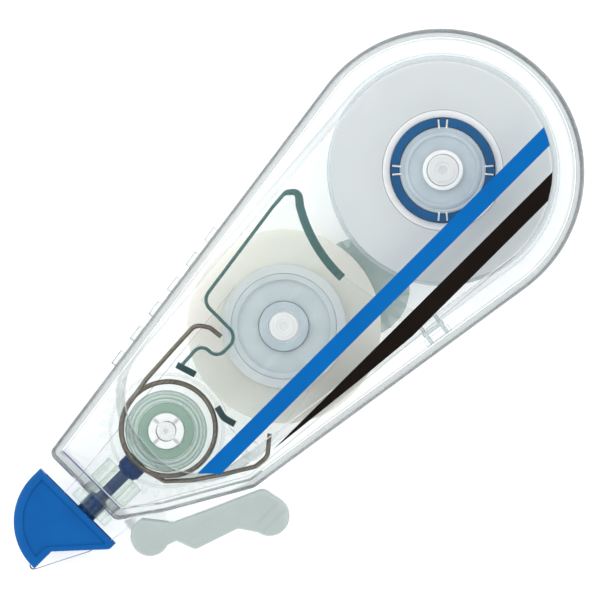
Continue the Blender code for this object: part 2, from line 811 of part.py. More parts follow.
def build_brake():
    axis = (*BRAKE_CENTRE, 0.0)
    hub_radius = 2.3
    bore = hub_radius + 0.25
    wheel = gear(BRAKE_CENTRE, BRAKE_TEETH, BRAKE_TURN, UPPER_GEARS, bore, "brake_gear")
    rim = ring(*BRAKE_RIM, UPPER_GEARS[1] - 0.2, UPPER_GEARS[1] + GAP, BRAKE_CENTRE, "rim")
    finish_part(join(wheel, rim), "brake_gear", "idler", axis)
    hub = ring(hub_radius, BRAKE_POST + 0.15, 1.6, DRUM_TOP, BRAKE_CENTRE, "brake_hub", 28)
    finish_part(hub, "brake_hub", "white", axis)
    foot = UPPER_GEARS[1] + GAP
    drum = turned(
        [(4.3, DRUM_TOP), (4.3, DRUM_TOP - 0.4), (4.9, DRUM_TOP - 0.4), (DRUM_RADIUS, DRUM_TOP - 0.8),
         (DRUM_RADIUS, DRUM_LEVEL), (DRUM_NECK, DRUM_LEVEL), (DRUM_NECK, foot), (bore, foot),
         (bore, DRUM_TOP - 0.5), (3.6, DRUM_TOP - 0.5), (3.6, DRUM_TOP)],
        BRAKE_CENTRE,
    )
    finish_part(drum, "brake_drum", "green", axis)


def build_torsion_spring():
    """Turns round the drum, with one leg to the bridge's pocket and one round the post."""
    start = 98.0
    leg_z = 12.4
    steps = round(SPRING_TURNS * 16)
    top = SPRING_LOW + SPRING_TURNS * SPRING_PITCH
    coil = []
    for i in range(steps + 1):
        angle = start + 360 * SPRING_TURNS * i / steps
        height = top - SPRING_PITCH * SPRING_TURNS * i / steps
        coil.append((*polar(BRAKE_CENTRE, SPRING_RADIUS, angle), height))
    upper_leg = [
        (-35.3, 5.0, top), (-35.4, 6.6, top), (-36.1, 8.0, top), (-37.4, 8.5, top), (-41.0, 8.25, top),
        (-46.0, 7.95, top),
    ]
    lower_leg = [
        (-53.6, -3.0, SPRING_LOW), (-51.0, -5.4, SPRING_LOW), (-47.6, -7.7, SPRING_LOW + 0.2),
        (-44.4, -9.4, leg_z - 0.1), (-43.4, -9.8, leg_z), (-42.2, -9.8, leg_z), (-41.0, -9.2, leg_z),
        (-39.7, -8.2, leg_z),
    ]
    spring = wire(upper_leg + coil + lower_leg, SPRING_WIRE / 2, "torsion_spring")
    finish_part(spring, "torsion_spring", "wire")


# Head


def nose_outline():
    """The head seen from its side, counter-clockwise."""
    bottom_y = -4.2
    return (
        [(NOSE_BACK_X, bottom_y), (NOSE_BACK_X, STEM_Y + NOSE_RADIUS)]
        + arc((NOSE_CENTRE_X, STEM_Y), NOSE_RADIUS, 90, 180, 14)
        + [(NOSE_CENTRE_X - NOSE_RADIUS, 0.9), (-70.3, 0.9)]
        + fillet((-70.3, 0.9), (-64.8, bottom_y), (NOSE_BACK_X, bottom_y), 0.8)
    )


def nose_hollow():
    """The space between the cheeks for the tape, above and below the blade."""
    roof = arc((NOSE_CENTRE_X, STEM_Y), NOSE_RADIUS - 1.0, 90, 173, 10)
    above = [(NOSE_BACK_X + 1, STEM_Y + NOSE_RADIUS - 1.0)] + roof + [
        (TIP_X + 0.9, 1.75), (-68.5, 2.3), (-67.0, 3.6), (NOSE_BACK_X + 1, 3.6),
    ]
    below = [
        (TIP_X - 1, 0.86), (-68.5, 0.3), (-67.0, -0.9), (NOSE_BACK_X + 1, -0.9),
        (NOSE_BACK_X + 1, -6), (TIP_X - 1, -6),
    ]
    return above, below


def build_head():
    axis = (0.0, STEM_Y, STEM_Z)
    length = STEM_X[1] - STEM_X[0]
    stem = turned(
        [(0, length), (1.7, length), (1.7, length - 1.9), (STEM_RADIUS, length - 2.2),
         (STEM_RADIUS, length - 3.4), (0.9, length - 3.6), (0.9, length - 5.6),
         (STEM_RADIUS, length - 5.8), (STEM_RADIUS, 0.0), (0, 0.0)],
        steps=24,
        name="head_stem",
    )
    lay_along_x(stem, STEM_X[0], STEM_Y, STEM_Z)
    finish_part(stem, "head_stem", "stem")

    half = NOSE_INNER / 2 + NOSE_CHEEK
    nose = plate([nose_outline()[::-1]], STEM_Z - half, STEM_Z + half, "head_nose")
    nose = rounded_sides(nose, STEM_Z - half, STEM_Z + half, 0.35)
    for loop in nose_hollow():
        cut(nose, plate([loop], STEM_Z - NOSE_INNER / 2, STEM_Z + NOSE_INNER / 2))
    socket = lay_along_x(cylinder_at_origin(STEM_RADIUS + 0.15, 4.0), STEM_X[0] - 0.3, STEM_Y, STEM_Z)
    cut(nose, socket)
    half = NOSE_INNER / 2
    cut(nose, box((HUB_BACK_X, -2.2, STEM_Z - half), (NOSE_BACK_X + 1, 4.8, STEM_Z + half)))
    tip_relief = box((TIP_X - 1, 1.7, STEM_Z - half), (TIP_X + 1.3, 2.8, STEM_Z + half))
    cut(nose, tip_relief)
    finish_part(nose, "head_nose", "head", axis)

    sleeve = turned(
        [(SLEEVE_RADIUS, 6.7), (SLEEVE_RADIUS, 3.4), (2.4, 3.4), (2.4, 1.4), (SLEEVE_RADIUS, 1.4),
         (SLEEVE_RADIUS, 0.0), (STEM_RADIUS + 0.2, 0.0), (STEM_RADIUS + 0.2, 6.7)],
        steps=24,
    )
    lay_along_x(sleeve, SLEEVE_X[0], STEM_Y, STEM_Z)
    finish_part(sleeve, "head_sleeve", "idler")


def rounded_sides(obj, low, high, width):
    round_rim(obj, low, width)
    return round_rim(obj, high, width)


# Tape


def tangent_point(point, centre, radius, side):
    """Where a line from point touches a circle; side is +1 for the left-hand tangent, -1 for the right."""
    away = math.dist(point, centre)
    swing = math.degrees(math.acos(radius / away))
    return polar(centre, radius, bearing(centre, point) + side * swing)


def build_tape():
    pin_wrap = GUIDE_PIN_RADIUS + 0.3
    roll = (0.0, 0.0)
    roll_wrap = ROLL_RADIUS + 0.3
    lean = math.degrees(math.asin((roll_wrap - pin_wrap) / math.dist(GUIDE_PIN, roll)))
    leave = bearing(GUIDE_PIN, roll) - 90 - lean
    lip = (-56.6, -3.45)
    feed = [
        polar(roll, roll_wrap, leave),
        polar(GUIDE_PIN, pin_wrap, leave),
        polar(GUIDE_PIN, pin_wrap, leave - 14),
        polar(GUIDE_PIN, pin_wrap, leave - 26),
        lip,
        (-57.6, -3.5),
        (-60.9, -3.95),
    ]
    finish_part(ribbon(feed, "tape_feed_run"), "tape_feed_run", "tape")

    tip = [
        (-62.2, -3.9), (-63.8, -3.5), (-67.0, -2.5), (-73.0, 0.55),
        (-73.6, 0.7), (-73.9, 1.3), (-73.6, 1.95), (-72.6, 2.1), (-68.6, 2.9), (-66.8, 4.6), (-64.7, 5.05),
    ]
    finish_part(ribbon(tip, "tape_tip_loop"), "tape_tip_loop", "tape", (0.0, STEM_Y, STEM_Z))
    enter = (-62.6, 5.15)
    wrap = TAKEUP_ROLL_RADIUS + 0.3
    liner = [enter, tangent_point(enter, TAKEUP_CENTRE, wrap, -1)]
    finish_part(ribbon(liner, "tape_return_run"), "tape_return_run", "liner")


# Guard


def guard_outline():
    """The guard seen from its side while it is swung open, counter-clockwise from the pivot's top."""
    return (
        arc(PIVOT, PIVOT_LOBE, 70, 290, 12)
        + [(-57.9, -9.5)]
        + rounded([(-57.9, -9.5, 0), (-57.0, -12.0, 0.5), (-51.4, -13.9, 0)], 2)[1:4]
        + [(-51.4, -13.9), (-49.9, -14.8), (-49.5, -16.6)]
        + arc(GUARD_END, GUARD_END_RADIUS, 200, 372, 12)
        + fillet((-44.6, -15.0), (-45.3, -12.6), (-51.4, -9.9), 1.0)
        + [(-51.4, -9.9), (-56.6, -7.5)]
    )


def guard_hollow():
    """The guard's inside: all of its outline but the back wall along its upper edge and round its end."""
    wall = GUARD_SPINE
    return [
        (-54.3, -8.6 - wall), (-51.3, -9.9 - wall), (-46.6, -12.0 - wall),
        (-45.5, -14.0), (-45.6, -16.0), (-46.4, -17.4), (-48.5, -20.0), (-66.0, -20.0), (-66.0, -2.0),
        (-57.0, -2.0), (-57.0, -7.3), (-55.6, -9.0),
    ]


def build_guard():
    low, high = GUARD_Z
    body = plate([guard_outline()], low, high, "guard")
    body = rounded_sides(body, low, high, 0.35)
    cut(body, plate([guard_hollow()[::-1]], low + GUARD_CHEEK, high - GUARD_CHEEK))
    cut(body, cylinder(PIVOT, PIVOT_BOSS + 0.15, low + GUARD_SKIN, high - GUARD_SKIN, 20))
    finish_part(body, "guard", "guard", (*PIVOT, 0.0))


clear_scene()
PARTS = new_collection("correction_tape_roller")
TOOLS = new_collection("cutters")

build_rear_case()
build_front_case()
build_chassis_bridge()
build_supply_reel()
build_idler()
build_takeup_reel()
build_brake()
build_torsion_spring()
build_head()
build_tape()
build_guard()
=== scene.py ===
"""Looks of the correction tape roller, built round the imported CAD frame.

Numbers are millimetres and degrees in the part's own frame. The origin is on the supply reel's axis at the
rear face, +X runs to the round rear end, +Y to the edge with the grip bumps and +Z out of the printed panel.
"""

import json
import math

import bmesh
import bpy
from mathutils import Matrix, Vector


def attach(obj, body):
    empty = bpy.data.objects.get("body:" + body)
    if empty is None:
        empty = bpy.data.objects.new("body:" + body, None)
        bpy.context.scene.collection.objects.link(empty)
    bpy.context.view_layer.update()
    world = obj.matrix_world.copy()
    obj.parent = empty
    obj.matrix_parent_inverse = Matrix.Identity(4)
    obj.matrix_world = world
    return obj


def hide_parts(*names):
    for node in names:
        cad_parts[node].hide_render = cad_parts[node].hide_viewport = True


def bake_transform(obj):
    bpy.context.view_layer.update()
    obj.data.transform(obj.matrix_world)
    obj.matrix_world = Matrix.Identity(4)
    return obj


MM = 0.001

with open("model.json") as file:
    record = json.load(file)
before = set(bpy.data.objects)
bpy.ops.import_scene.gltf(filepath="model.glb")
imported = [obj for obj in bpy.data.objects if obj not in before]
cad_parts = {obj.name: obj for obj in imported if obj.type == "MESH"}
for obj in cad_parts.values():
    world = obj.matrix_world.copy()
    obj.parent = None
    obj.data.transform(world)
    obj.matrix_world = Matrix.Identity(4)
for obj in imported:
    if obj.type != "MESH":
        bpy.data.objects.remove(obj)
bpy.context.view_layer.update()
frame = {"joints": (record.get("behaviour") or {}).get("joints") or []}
JOINTS = {
    joint["name"]: tuple(round(value / MM, 5) for value in joint["pos_m"])
    for joint in frame["joints"]
    if "pos_m" in joint
}

# Case
SPLIT_Z = 7.6
WALL = 1.0
FRONT_STEP = 0.4
FLOOR = 1.2
REAR_CENTRE = (-0.4, 0.0)
REAR_RADIUS = 18.5
TOP_TAPER = 8.0
BOTTOM_TAPER = 8.7
FRONT_X = -61.6
FRONT_LOW_Y = -2.1
LIP = (-56.6, -5.6)
HEEL_X = -46.0
CORNER_RADII = (1.0, 1.2, 2.0, 2.5)
EAR_RADIUS = 2.0
RIM_Z = 14.4
PANEL_Z = 16.0
PANEL_RADIUS = 15.3
PANEL_FRONT = (-44.0, 0.3)
PANEL_FRONT_RADIUS = 9.2
PANEL_TOP = (-43.4, 2.4)
PANEL_TOP_RADIUS = 9.6

# Where the axes of the mechanism stand, in plan
SUPPLY = JOINTS["supply_spin"][:2]
TAKEUP = JOINTS["takeup_spin"][:2]
IDLER = JOINTS["idler_spin"][:2]
BRAKE = JOINTS["brake_spin"][:2]
PIVOT = JOINTS["guard_swing"][:2]

# Gears, all of one module
MODULE = 0.5
PRESSURE_ANGLE = 20.0
BACKLASH = 0.12
SUPPLY_TEETH = 50
IDLER_TEETH = 24
PINION_TEETH = 20
TAKEUP_TEETH = 48
BRAKE_TEETH = 33
LOWER_GEARS = (1.9, 2.8)
UPPER_GEARS = (3.1, 4.0)

# Reels and tape
TAPE_LOW = 4.6
TAPE_HIGH = 10.6
ROLL_RADIUS = 14.4
FLANGE_RADIUS = 14.9
CORE_RADIUS = 7.75
TAKEUP_ROLL_RADIUS = 8.0
TAKEUP_CORE_RADIUS = 6.8
TAKEUP_FLANGE_RADIUS = 12.55
GUIDE_PIN = (-45.2, -9.2)
GUIDE_PIN_RADIUS = 0.8

# Brake spring and bridge
SPRING_POST = (-42.7, -8.0)
SPRING_START = 98.0
SPRING_TURNS = 2.25
SPRING_PITCH = 0.64
SPRING_LOW = 11.3
SPRING_RADIUS = 6.0
SPRING_GROWTH = 0.15
WIRE_RADIUS = 0.3
BRIDGE_Z = (11.0, 11.9)
BRIDGE_RIM = 1.1
BRIDGE_HOOK = 0.45

# Head and guard
STEM_Y, STEM_Z = JOINTS["head_twist"][1:]
STEM_X = -66.8
STEM_LENGTH = 12.7
HEAD_CENTRE = (-65.2, STEM_Y)
HEAD_RADIUS = 8.2
HEAD_BACK_X = -63.8
HEAD_LOW_Y = -4.2
GUARD_END = (-47.2, -15.7)
GUARD_Z = (1.3, 13.9)
GUARD_WALL = 0.9

# Printed bands
PRINT_LOW = PANEL_Z - 0.005
PRINT_HIGH = PANEL_Z + 0.02
PRINT_END_RADIUS = 14.05

# Camera and studio
VIEW_WIDTH = 77.14
VIEW_CENTRE = (-24.8, 1.18, 12.5)
LENS = 800.0
SENSOR = 36.0
FLOOR_GLOW = 0.3
SKY_STRENGTH = 1.14


# Outlines


def polar(centre, radius, angle):
    turn = math.radians(angle)
    return (centre[0] + radius * math.cos(turn), centre[1] + radius * math.sin(turn))


def arc(centre, radius, start, end, steps):
    return [polar(centre, radius, start + (end - start) * i / steps) for i in range(steps + 1)]


def circle(centre, radius, steps=64):
    return arc(centre, radius, 0, 360, steps)[:-1]


def bearing(start, end):
    return math.degrees(math.atan2(end[1] - start[1], end[0] - start[0]))


def fillet(before, corner, after, radius, steps=6):
    """The corner rounded to that radius, or to the widest that fits; one that is nearly straight stays."""
    into = (Vector(corner) - Vector(before)).normalized()
    out = (Vector(after) - Vector(corner)).normalized()
    turn = into.angle_signed(out)
    if abs(turn) < 0.02:
        return [tuple(corner)]
    reach = radius * abs(math.tan(turn / 2))
    most = 0.48 * min(math.dist(before, corner), math.dist(corner, after))
    if reach > most:
        radius *= most / reach
        reach = most
    start = Vector(corner) - into * reach
    side = Vector((-into.y, into.x)) * (-1 if turn > 0 else 1)
    centre = start + side * radius
    first = bearing(centre, start)
    return arc(tuple(centre), radius, first, first - math.degrees(turn), steps)


def softened(points, radius, steps=3, closed=True):
    """The outline or path with every corner rounded."""
    soft = []
    for i, point in enumerate(points):
        if not closed and i in (0, len(points) - 1):
            soft.append(point)
        else:
            soft += fillet(points[i - 1], point, points[(i + 1) % len(points)], radius, steps)
    return soft


def inset(points, distance):
    """A counter-clockwise outline moved inwards by that distance."""
    moved = []
    for i, point in enumerate(points):
        into = (Vector(point) - Vector(points[i - 1])).normalized()
        out = (Vector(points[(i + 1) % len(points)]) - Vector(point)).normalized()
        normal = Vector((-into.y - out.y, into.x + out.x)).normalized()
        mitre = distance / max(0.4, normal.dot(Vector((-into.y, into.x))))
        moved.append(tuple(Vector(point) + normal * mitre))
    return moved


def band(path, width):
    """The closed outline of a strip along an open path, with one width or a width for each point."""
    widths = width if isinstance(width, list) else [width] * len(path)
    left, right = [], []
    for i, point in enumerate(path):
        along = (Vector(path[min(i + 1, len(path) - 1)]) - Vector(path[max(i - 1, 0)])).normalized()
        side = Vector((-along.y, along.x)) * widths[i] / 2
        left.append(tuple(Vector(point) + side))
        right.append(tuple(Vector(point) - side))
    return right + left[::-1]


def top_edge_y(x):
    tangent = polar(REAR_CENTRE, REAR_RADIUS, 90 + TOP_TAPER)
    return tangent[1] + (x - tangent[0]) * math.tan(math.radians(TOP_TAPER))


def bottom_edge_y(x):
    tangent = polar(REAR_CENTRE, REAR_RADIUS, -90 - BOTTOM_TAPER)
    return tangent[1] - (x - tangent[0]) * math.tan(math.radians(BOTTOM_TAPER))


def case_outline(shrink=0.0, front=0.0):
    """The case in plan, shrunk by that much, with its front wall a further step back."""
    start = -90 - BOTTOM_TAPER
    end = 90 + TOP_TAPER
    corners = [
        polar(REAR_CENTRE, REAR_RADIUS, end),
        (FRONT_X, top_edge_y(FRONT_X)),
        (FRONT_X, FRONT_LOW_Y),
        LIP,
        (HEEL_X, bottom_edge_y(HEEL_X)),
        polar(REAR_CENTRE, REAR_RADIUS, start),
    ]
    inner = inset(corners, shrink)[1:-1]
    inner[0] = (inner[0][0] + front, inner[0][1] + front * math.tan(math.radians(TOP_TAPER)))
    inner[1] = (inner[1][0] + front, inner[1][1])
    rear = arc(REAR_CENTRE, REAR_RADIUS - shrink, start, end, 96)
    path = [rear[-1], *inner, rear[0]]
    rounds = []
    for i, radius in enumerate(CORNER_RADII):
        rounds += fillet(path[i], path[i + 1], path[i + 2], max(0.3, radius - shrink), 8)
    return rear + rounds


def belt(circles, steps=76):
    """The outline of a belt round circles of (centre, radius), which go counter-clockwise as it does."""
    leaving = []
    for (centre, radius), (following, next_radius) in zip(circles, circles[1:] + circles[:1]):
        lean = math.degrees(math.acos((radius - next_radius) / math.dist(centre, following)))
        leaving.append(bearing(centre, following) - lean)
    outline = []
    for i, (centre, radius) in enumerate(circles):
        sweep = (leaving[i] - leaving[i - 1]) % 360
        count = max(2, round(steps * sweep / 180))
        outline += arc(centre, radius, leaving[i - 1], leaving[i - 1] + sweep, count)
    return outline


def panel_outline(grow=0.0):
    """The raised panel, round at the rear and wider towards the upper edge at its front."""
    return belt([
        (REAR_CENTRE, PANEL_RADIUS + grow),
        (PANEL_TOP, PANEL_TOP_RADIUS + grow),
        (PANEL_FRONT, PANEL_FRONT_RADIUS + grow),
    ])


# Meshes


def to_object(name, mesh):
    obj = bpy.data.objects.new(name, mesh)
    bpy.context.scene.collection.objects.link(obj)
    return obj


def settled(obj, weld=0.002):
    """A new mesh object from what obj looks like with its modifiers, in place of obj."""
    bpy.context.view_layer.update()
    graph = bpy.context.evaluated_depsgraph_get()
    mesh = bpy.data.meshes.new_from_object(obj.evaluated_get(graph), depsgraph=graph)
    mesh.transform(obj.matrix_world)
    shape = bmesh.new()
    shape.from_mesh(mesh)
    bmesh.ops.remove_doubles(shape, verts=shape.verts, dist=weld * MM)
    bmesh.ops.recalc_face_normals(shape, faces=shape.faces)
    shape.to_mesh(mesh)
    shape.free()
    name = obj.name
    bpy.data.objects.remove(obj, do_unlink=True)
    return to_object(name, mesh)


def slab(loops, low, high, name="tool", edge=0.0, steps=2):
    """A flat plate from low to high in z with its rims rounded; loops inside the first are holes."""
    curve = bpy.data.curves.new(name, "CURVE")
    curve.dimensions = "2D"
    curve.fill_mode = "BOTH"
    curve.extrude = ((high - low) / 2 - edge) * MM
    curve.bevel_depth = edge * MM
    curve.bevel_resolution = steps
    curve.offset = -edge * MM
    for loop in loops:
        spline = curve.splines.new("POLY")
        spline.points.add(len(loop) - 1)
        for point, (x, y) in zip(spline.points, loop):
            point.co = (x * MM, y * MM, 0.0, 1.0)
        spline.use_cyclic_u = True
    guide = to_object(name, curve)
    guide.location.z = (low + high) / 2 * MM
    return settled(guide)


def round_rim(obj, level, width, segments=5):
    """Rounds the edges of a plate that lie at that level."""
    shape = bmesh.new()
    shape.from_mesh(obj.data)
    flat = math.radians(0.5)
    bmesh.ops.dissolve_limit(shape, angle_limit=flat, verts=shape.verts[:], edges=shape.edges[:])
    near = 0.001 * MM
    rim = [edge for edge in shape.edges if all(abs(vert.co.z - level * MM) < near for vert in edge.verts)]
    bmesh.ops.bevel(shape, geom=rim, offset=width * MM, segments=segments, profile=0.5, affect="EDGES")
    shape.to_mesh(obj.data)
    shape.free()
    return obj


def lathe(profile, centre=(0.0, 0.0), name="turned", edge=0.12, steps=96):
    """A solid turned about an upright axis from a closed profile of (radius, z) points."""
    points = softened(profile, edge) if edge else profile
    shape = bmesh.new()
    rings = []
    for i in range(steps):
        turn = 2 * math.pi * i / steps
        ring = []
        for radius, z in points:
            x = centre[0] + max(0.0, radius) * math.cos(turn)
            y = centre[1] + max(0.0, radius) * math.sin(turn)
            ring.append(shape.verts.new((x * MM, y * MM, z * MM)))
        rings.append(ring)
    count = len(points)
    for i in range(steps):
        first, second = rings[i], rings[(i + 1) % steps]
        for j in range(count):
            k = (j + 1) % count
            if max(points[j][0], points[k][0]) > 1e-6:
                shape.faces.new((first[j], first[k], second[k], second[j]))
    bmesh.ops.remove_doubles(shape, verts=shape.verts, dist=0.001 * MM)
    bmesh.ops.recalc_face_normals(shape, faces=shape.faces)
    mesh = bpy.data.meshes.new(name)
    shape.to_mesh(mesh)
    shape.free()
    return to_object(name, mesh)


def along_x(obj, start, y=STEM_Y, z=STEM_Z):
    """Lays a turned solid, made at the origin, down so that its z runs along +X from start."""
    place = Matrix.Translation((start * MM, y * MM, z * MM))
    obj.data.transform(place @ Matrix.Rotation(math.radians(90), 4, "Y"))
    return obj


def placed(obj, x=0.0, y=0.0, turn=0.0):
    place = Matrix.Translation((x * MM, y * MM, 0.0))
    obj.data.transform(place @ Matrix.Rotation(math.radians(turn), 4, "Z"))
    return obj


def wire(points, radius, name, resolution=5):
    curve = bpy.data.curves.new(name, "CURVE")
    curve.dimensions = "3D"
    curve.bevel_depth = radius * MM
    curve.bevel_resolution = resolution
    curve.use_fill_caps = True
    spline = curve.splines.new("POLY")
    spline.points.add(len(points) - 1)
    for point, place in zip(spline.points, points):
        point.co = (*[value * MM for value in place], 1.0)
    return settled(to_object(name, curve))


def boolean(obj, tools, operation):
    for tool in tools:
        modifier = obj.modifiers.new("Boolean", "BOOLEAN")
        modifier.operation = operation
        modifier.object = tool
        modifier.solver = "EXACT"
    made = settled(obj, 0.0005)
    for tool in tools:
        bpy.data.objects.remove(tool, do_unlink=True)
    return made


def cut(obj, *tools):
    return boolean(obj, tools, "DIFFERENCE")


def join(obj, *tools):
    return boolean(obj, tools, "UNION")


def block(low, high, name="tool", edge=0.0):
    outline = [(low[0], low[1]), (high[0], low[1]), (high[0], high[1]), (low[0], high[1])]
    return slab([outline], low[2], high[2], name, edge)


# Materials


class Look:
    """A procedural material under construction."""

    def __init__(self, name):
        self.material = bpy.data.materials.new(name)
        self.material.use_nodes = True
        self.tree = self.material.node_tree
        self.tree.nodes.clear()
        self.place = self.put("TexCoord").outputs["Object"]

    def put(self, kind, values=(), **settings):
        node = self.tree.nodes.new("ShaderNode" + kind)
        for name, value in settings.items():
            setattr(node, name, value)
        for name, value in dict(values).items():
            socket = node.inputs[name]
            if isinstance(value, bpy.types.NodeSocket):
                self.tree.links.new(value, socket)
            else:
                socket.default_value = value
        return node

    def noise(self, size, detail=3.0, stretch=(1, 1, 1)):
        """Noise whose grains are about size millimetres across."""
        scale = tuple(s / (size * MM) for s in stretch)
        place = self.put("Mapping", {"Vector": self.place, "Scale": scale}).outputs[0]
        return self.put("TexNoise", {"Vector": place, "Scale": 1.0, "Detail": detail}).outputs[0]

    def ramp(self, value, low, high, start=0.0, end=1.0):
        """Goes from low to high as the value goes from start to end, and stays level beyond them."""
        values = {0: value, 1: start, 2: end, 3: low, 4: high}
        return self.put("MapRange", values, clamp=True).outputs[0]

    def mix(self, share, first, second):
        """A mix of two colours."""
        node = self.put("Mix", {0: share}, data_type="RGBA")
        for socket, value in ((node.inputs[6], first), (node.inputs[7], second)):
            if isinstance(value, bpy.types.NodeSocket):
                self.tree.links.new(value, socket)
            else:
                socket.default_value = (*value, 1.0)
        return node.outputs[2]

    def maths(self, operation, *values):
        return self.put("Math", dict(enumerate(values)), operation=operation).outputs[0]

    def bump(self, height, depth, strength=1.0):
        values = {"Height": height, "Distance": depth * MM, "Strength": strength}
        return self.put("Bump", values).outputs[0]

    def radius_from(self, centre):
        """Distance from an upright axis, in metres."""
        axes = self.put("SeparateXYZ", {0: self.place}).outputs
        dx = self.maths("SUBTRACT", axes[0], centre[0] * MM)
        dy = self.maths("SUBTRACT", axes[1], centre[1] * MM)
        squares = self.maths("ADD", self.maths("MULTIPLY", dx, dx), self.maths("MULTIPLY", dy, dy))
        return self.maths("SQRT", squares)

    def inside_line(self, x, y, first, first_radius, second, second_radius):
        """How far a point lies inside the tangent that leaves the first circle for the second."""
        lean = math.degrees(math.acos((first_radius - second_radius) / math.dist(first, second)))
        out = polar((0.0, 0.0), 1.0, bearing(first, second) - lean)
        reach = out[0] * first[0] + out[1] * first[1] + first_radius
        across = self.maths("MULTIPLY_ADD", x, out[0], self.maths("MULTIPLY", y, out[1]))
        return self.maths("SUBTRACT", reach * MM, across)

    def outer_wall(self, x, y):
        """1 over the case's outer wall, 0 inside it and 0.35 over what stands out past it."""
        top_slope = math.tan(math.radians(TOP_TAPER))
        bottom_slope = math.tan(math.radians(BOTTOM_TAPER))
        top_line = self.maths("MULTIPLY_ADD", x, top_slope, top_edge_y(0.0) * MM)
        bottom_line = self.maths("MULTIPLY_ADD", x, -bottom_slope, bottom_edge_y(0.0) * MM)
        top = self.maths("SUBTRACT", top_line, y)
        bottom = self.maths("SUBTRACT", y, bottom_line)
        front = self.maths("SUBTRACT", x, (FRONT_X + FRONT_STEP) * MM)
        round_end = self.maths("SUBTRACT", REAR_RADIUS * MM, self.radius_from(REAR_CENTRE))
        is_front = self.maths("LESS_THAN", x, REAR_CENTRE[0] * MM)
        round_end = self.maths("ADD", round_end, is_front)
        sides = self.maths("MINIMUM", top, bottom)
        ends = self.maths("MINIMUM", front, round_end)
        inside = self.maths("MINIMUM", sides, ends)
        fading = self.ramp(inside, 1.0, 0.0, 0.8 * MM, 1.6 * MM)
        rising = self.ramp(inside, 0.35, 1.0, -0.05 * MM, 0.05 * MM)
        return self.maths("MULTIPLY", fading, rising)

    def panel_wall(self, x, y):
        """0.9 over the raised panel's side wall at the front, 0.35 over the rest of it and 0 elsewhere."""
        upper = self.maths("SUBTRACT", PANEL_TOP_RADIUS * MM, self.radius_from(PANEL_TOP))
        lower = self.maths("SUBTRACT", PANEL_FRONT_RADIUS * MM, self.radius_from(PANEL_FRONT))
        past_front = self.maths("GREATER_THAN", x, PANEL_TOP[0] * MM)
        ahead = self.maths("ADD", self.maths("MAXIMUM", upper, lower), past_front)
        behind = self.maths("SUBTRACT", PANEL_RADIUS * MM, self.radius_from(REAR_CENTRE))
        behind = self.maths("ADD", behind, self.maths("LESS_THAN", x, REAR_CENTRE[0] * MM))
        above = self.inside_line(x, y, REAR_CENTRE, PANEL_RADIUS, PANEL_TOP, PANEL_TOP_RADIUS)
        below = self.inside_line(x, y, PANEL_FRONT, PANEL_FRONT_RADIUS, REAR_CENTRE, PANEL_RADIUS)
        ends = self.maths("MINIMUM", ahead, behind)
        sides = self.maths("MINIMUM", above, below)
        inside = self.maths("MINIMUM", ends, sides)
        rising = self.ramp(inside, 0.0, 1.0, -0.25 * MM, 0.1 * MM)
        fading = self.ramp(inside, 1.0, 0.0, 0.95 * MM, 1.2 * MM)
        share = self.ramp(x, 0.9, 0.35, (PANEL_TOP[0] - 1.0) * MM, (PANEL_TOP[0] + 3.0) * MM)
        return self.maths("MULTIPLY", self.maths("MULTIPLY", rising, fading), share)

    def wall_share(self):
        """How strongly to tint the case with painted shade where it is looked at along the height of one of
        its walls.
        """
        axes = self.put("SeparateXYZ", {0: self.place}).outputs
        outer = self.outer_wall(axes[0], axes[1])
        panel = self.panel_wall(axes[0], axes[1])
        return self.maths("MAXIMUM", outer, panel)

    def finish(self, shader):
        self.tree.links.new(shader.outputs[0], self.put("OutputMaterial").inputs["Surface"])
        return self.material


def plastic(
    name, colour, shade, rough=(0.25, 0.4), mottle=2.5, depth=0.006, coat=0.0, glow=0.0, specular=0.5
):
    """Moulded plastic: slow colour drift, fine grain in gloss and relief."""
    grain = 0.12
    look = Look(name)
    drift = look.noise(mottle)
    fine = look.noise(grain, 4.0)
    base = look.mix(look.ramp(drift, 0.0, 1.0, 0.35, 0.7), colour, shade)
    values = {
        "Base Color": base,
        "Roughness": look.ramp(fine, *rough, 0.3, 0.7),
        "Normal": look.bump(fine, depth),
        "IOR": 1.49,
        "Specular IOR Level": specular,
        "Coat Weight": coat,
        "Coat Roughness": 0.12,
        "Subsurface Weight": glow,
        "Subsurface Scale": 0.001,
        "Subsurface Radius": (1.0, 1.0, 1.0),
    }
    return look.finish(look.put("BsdfPrincipled", values))


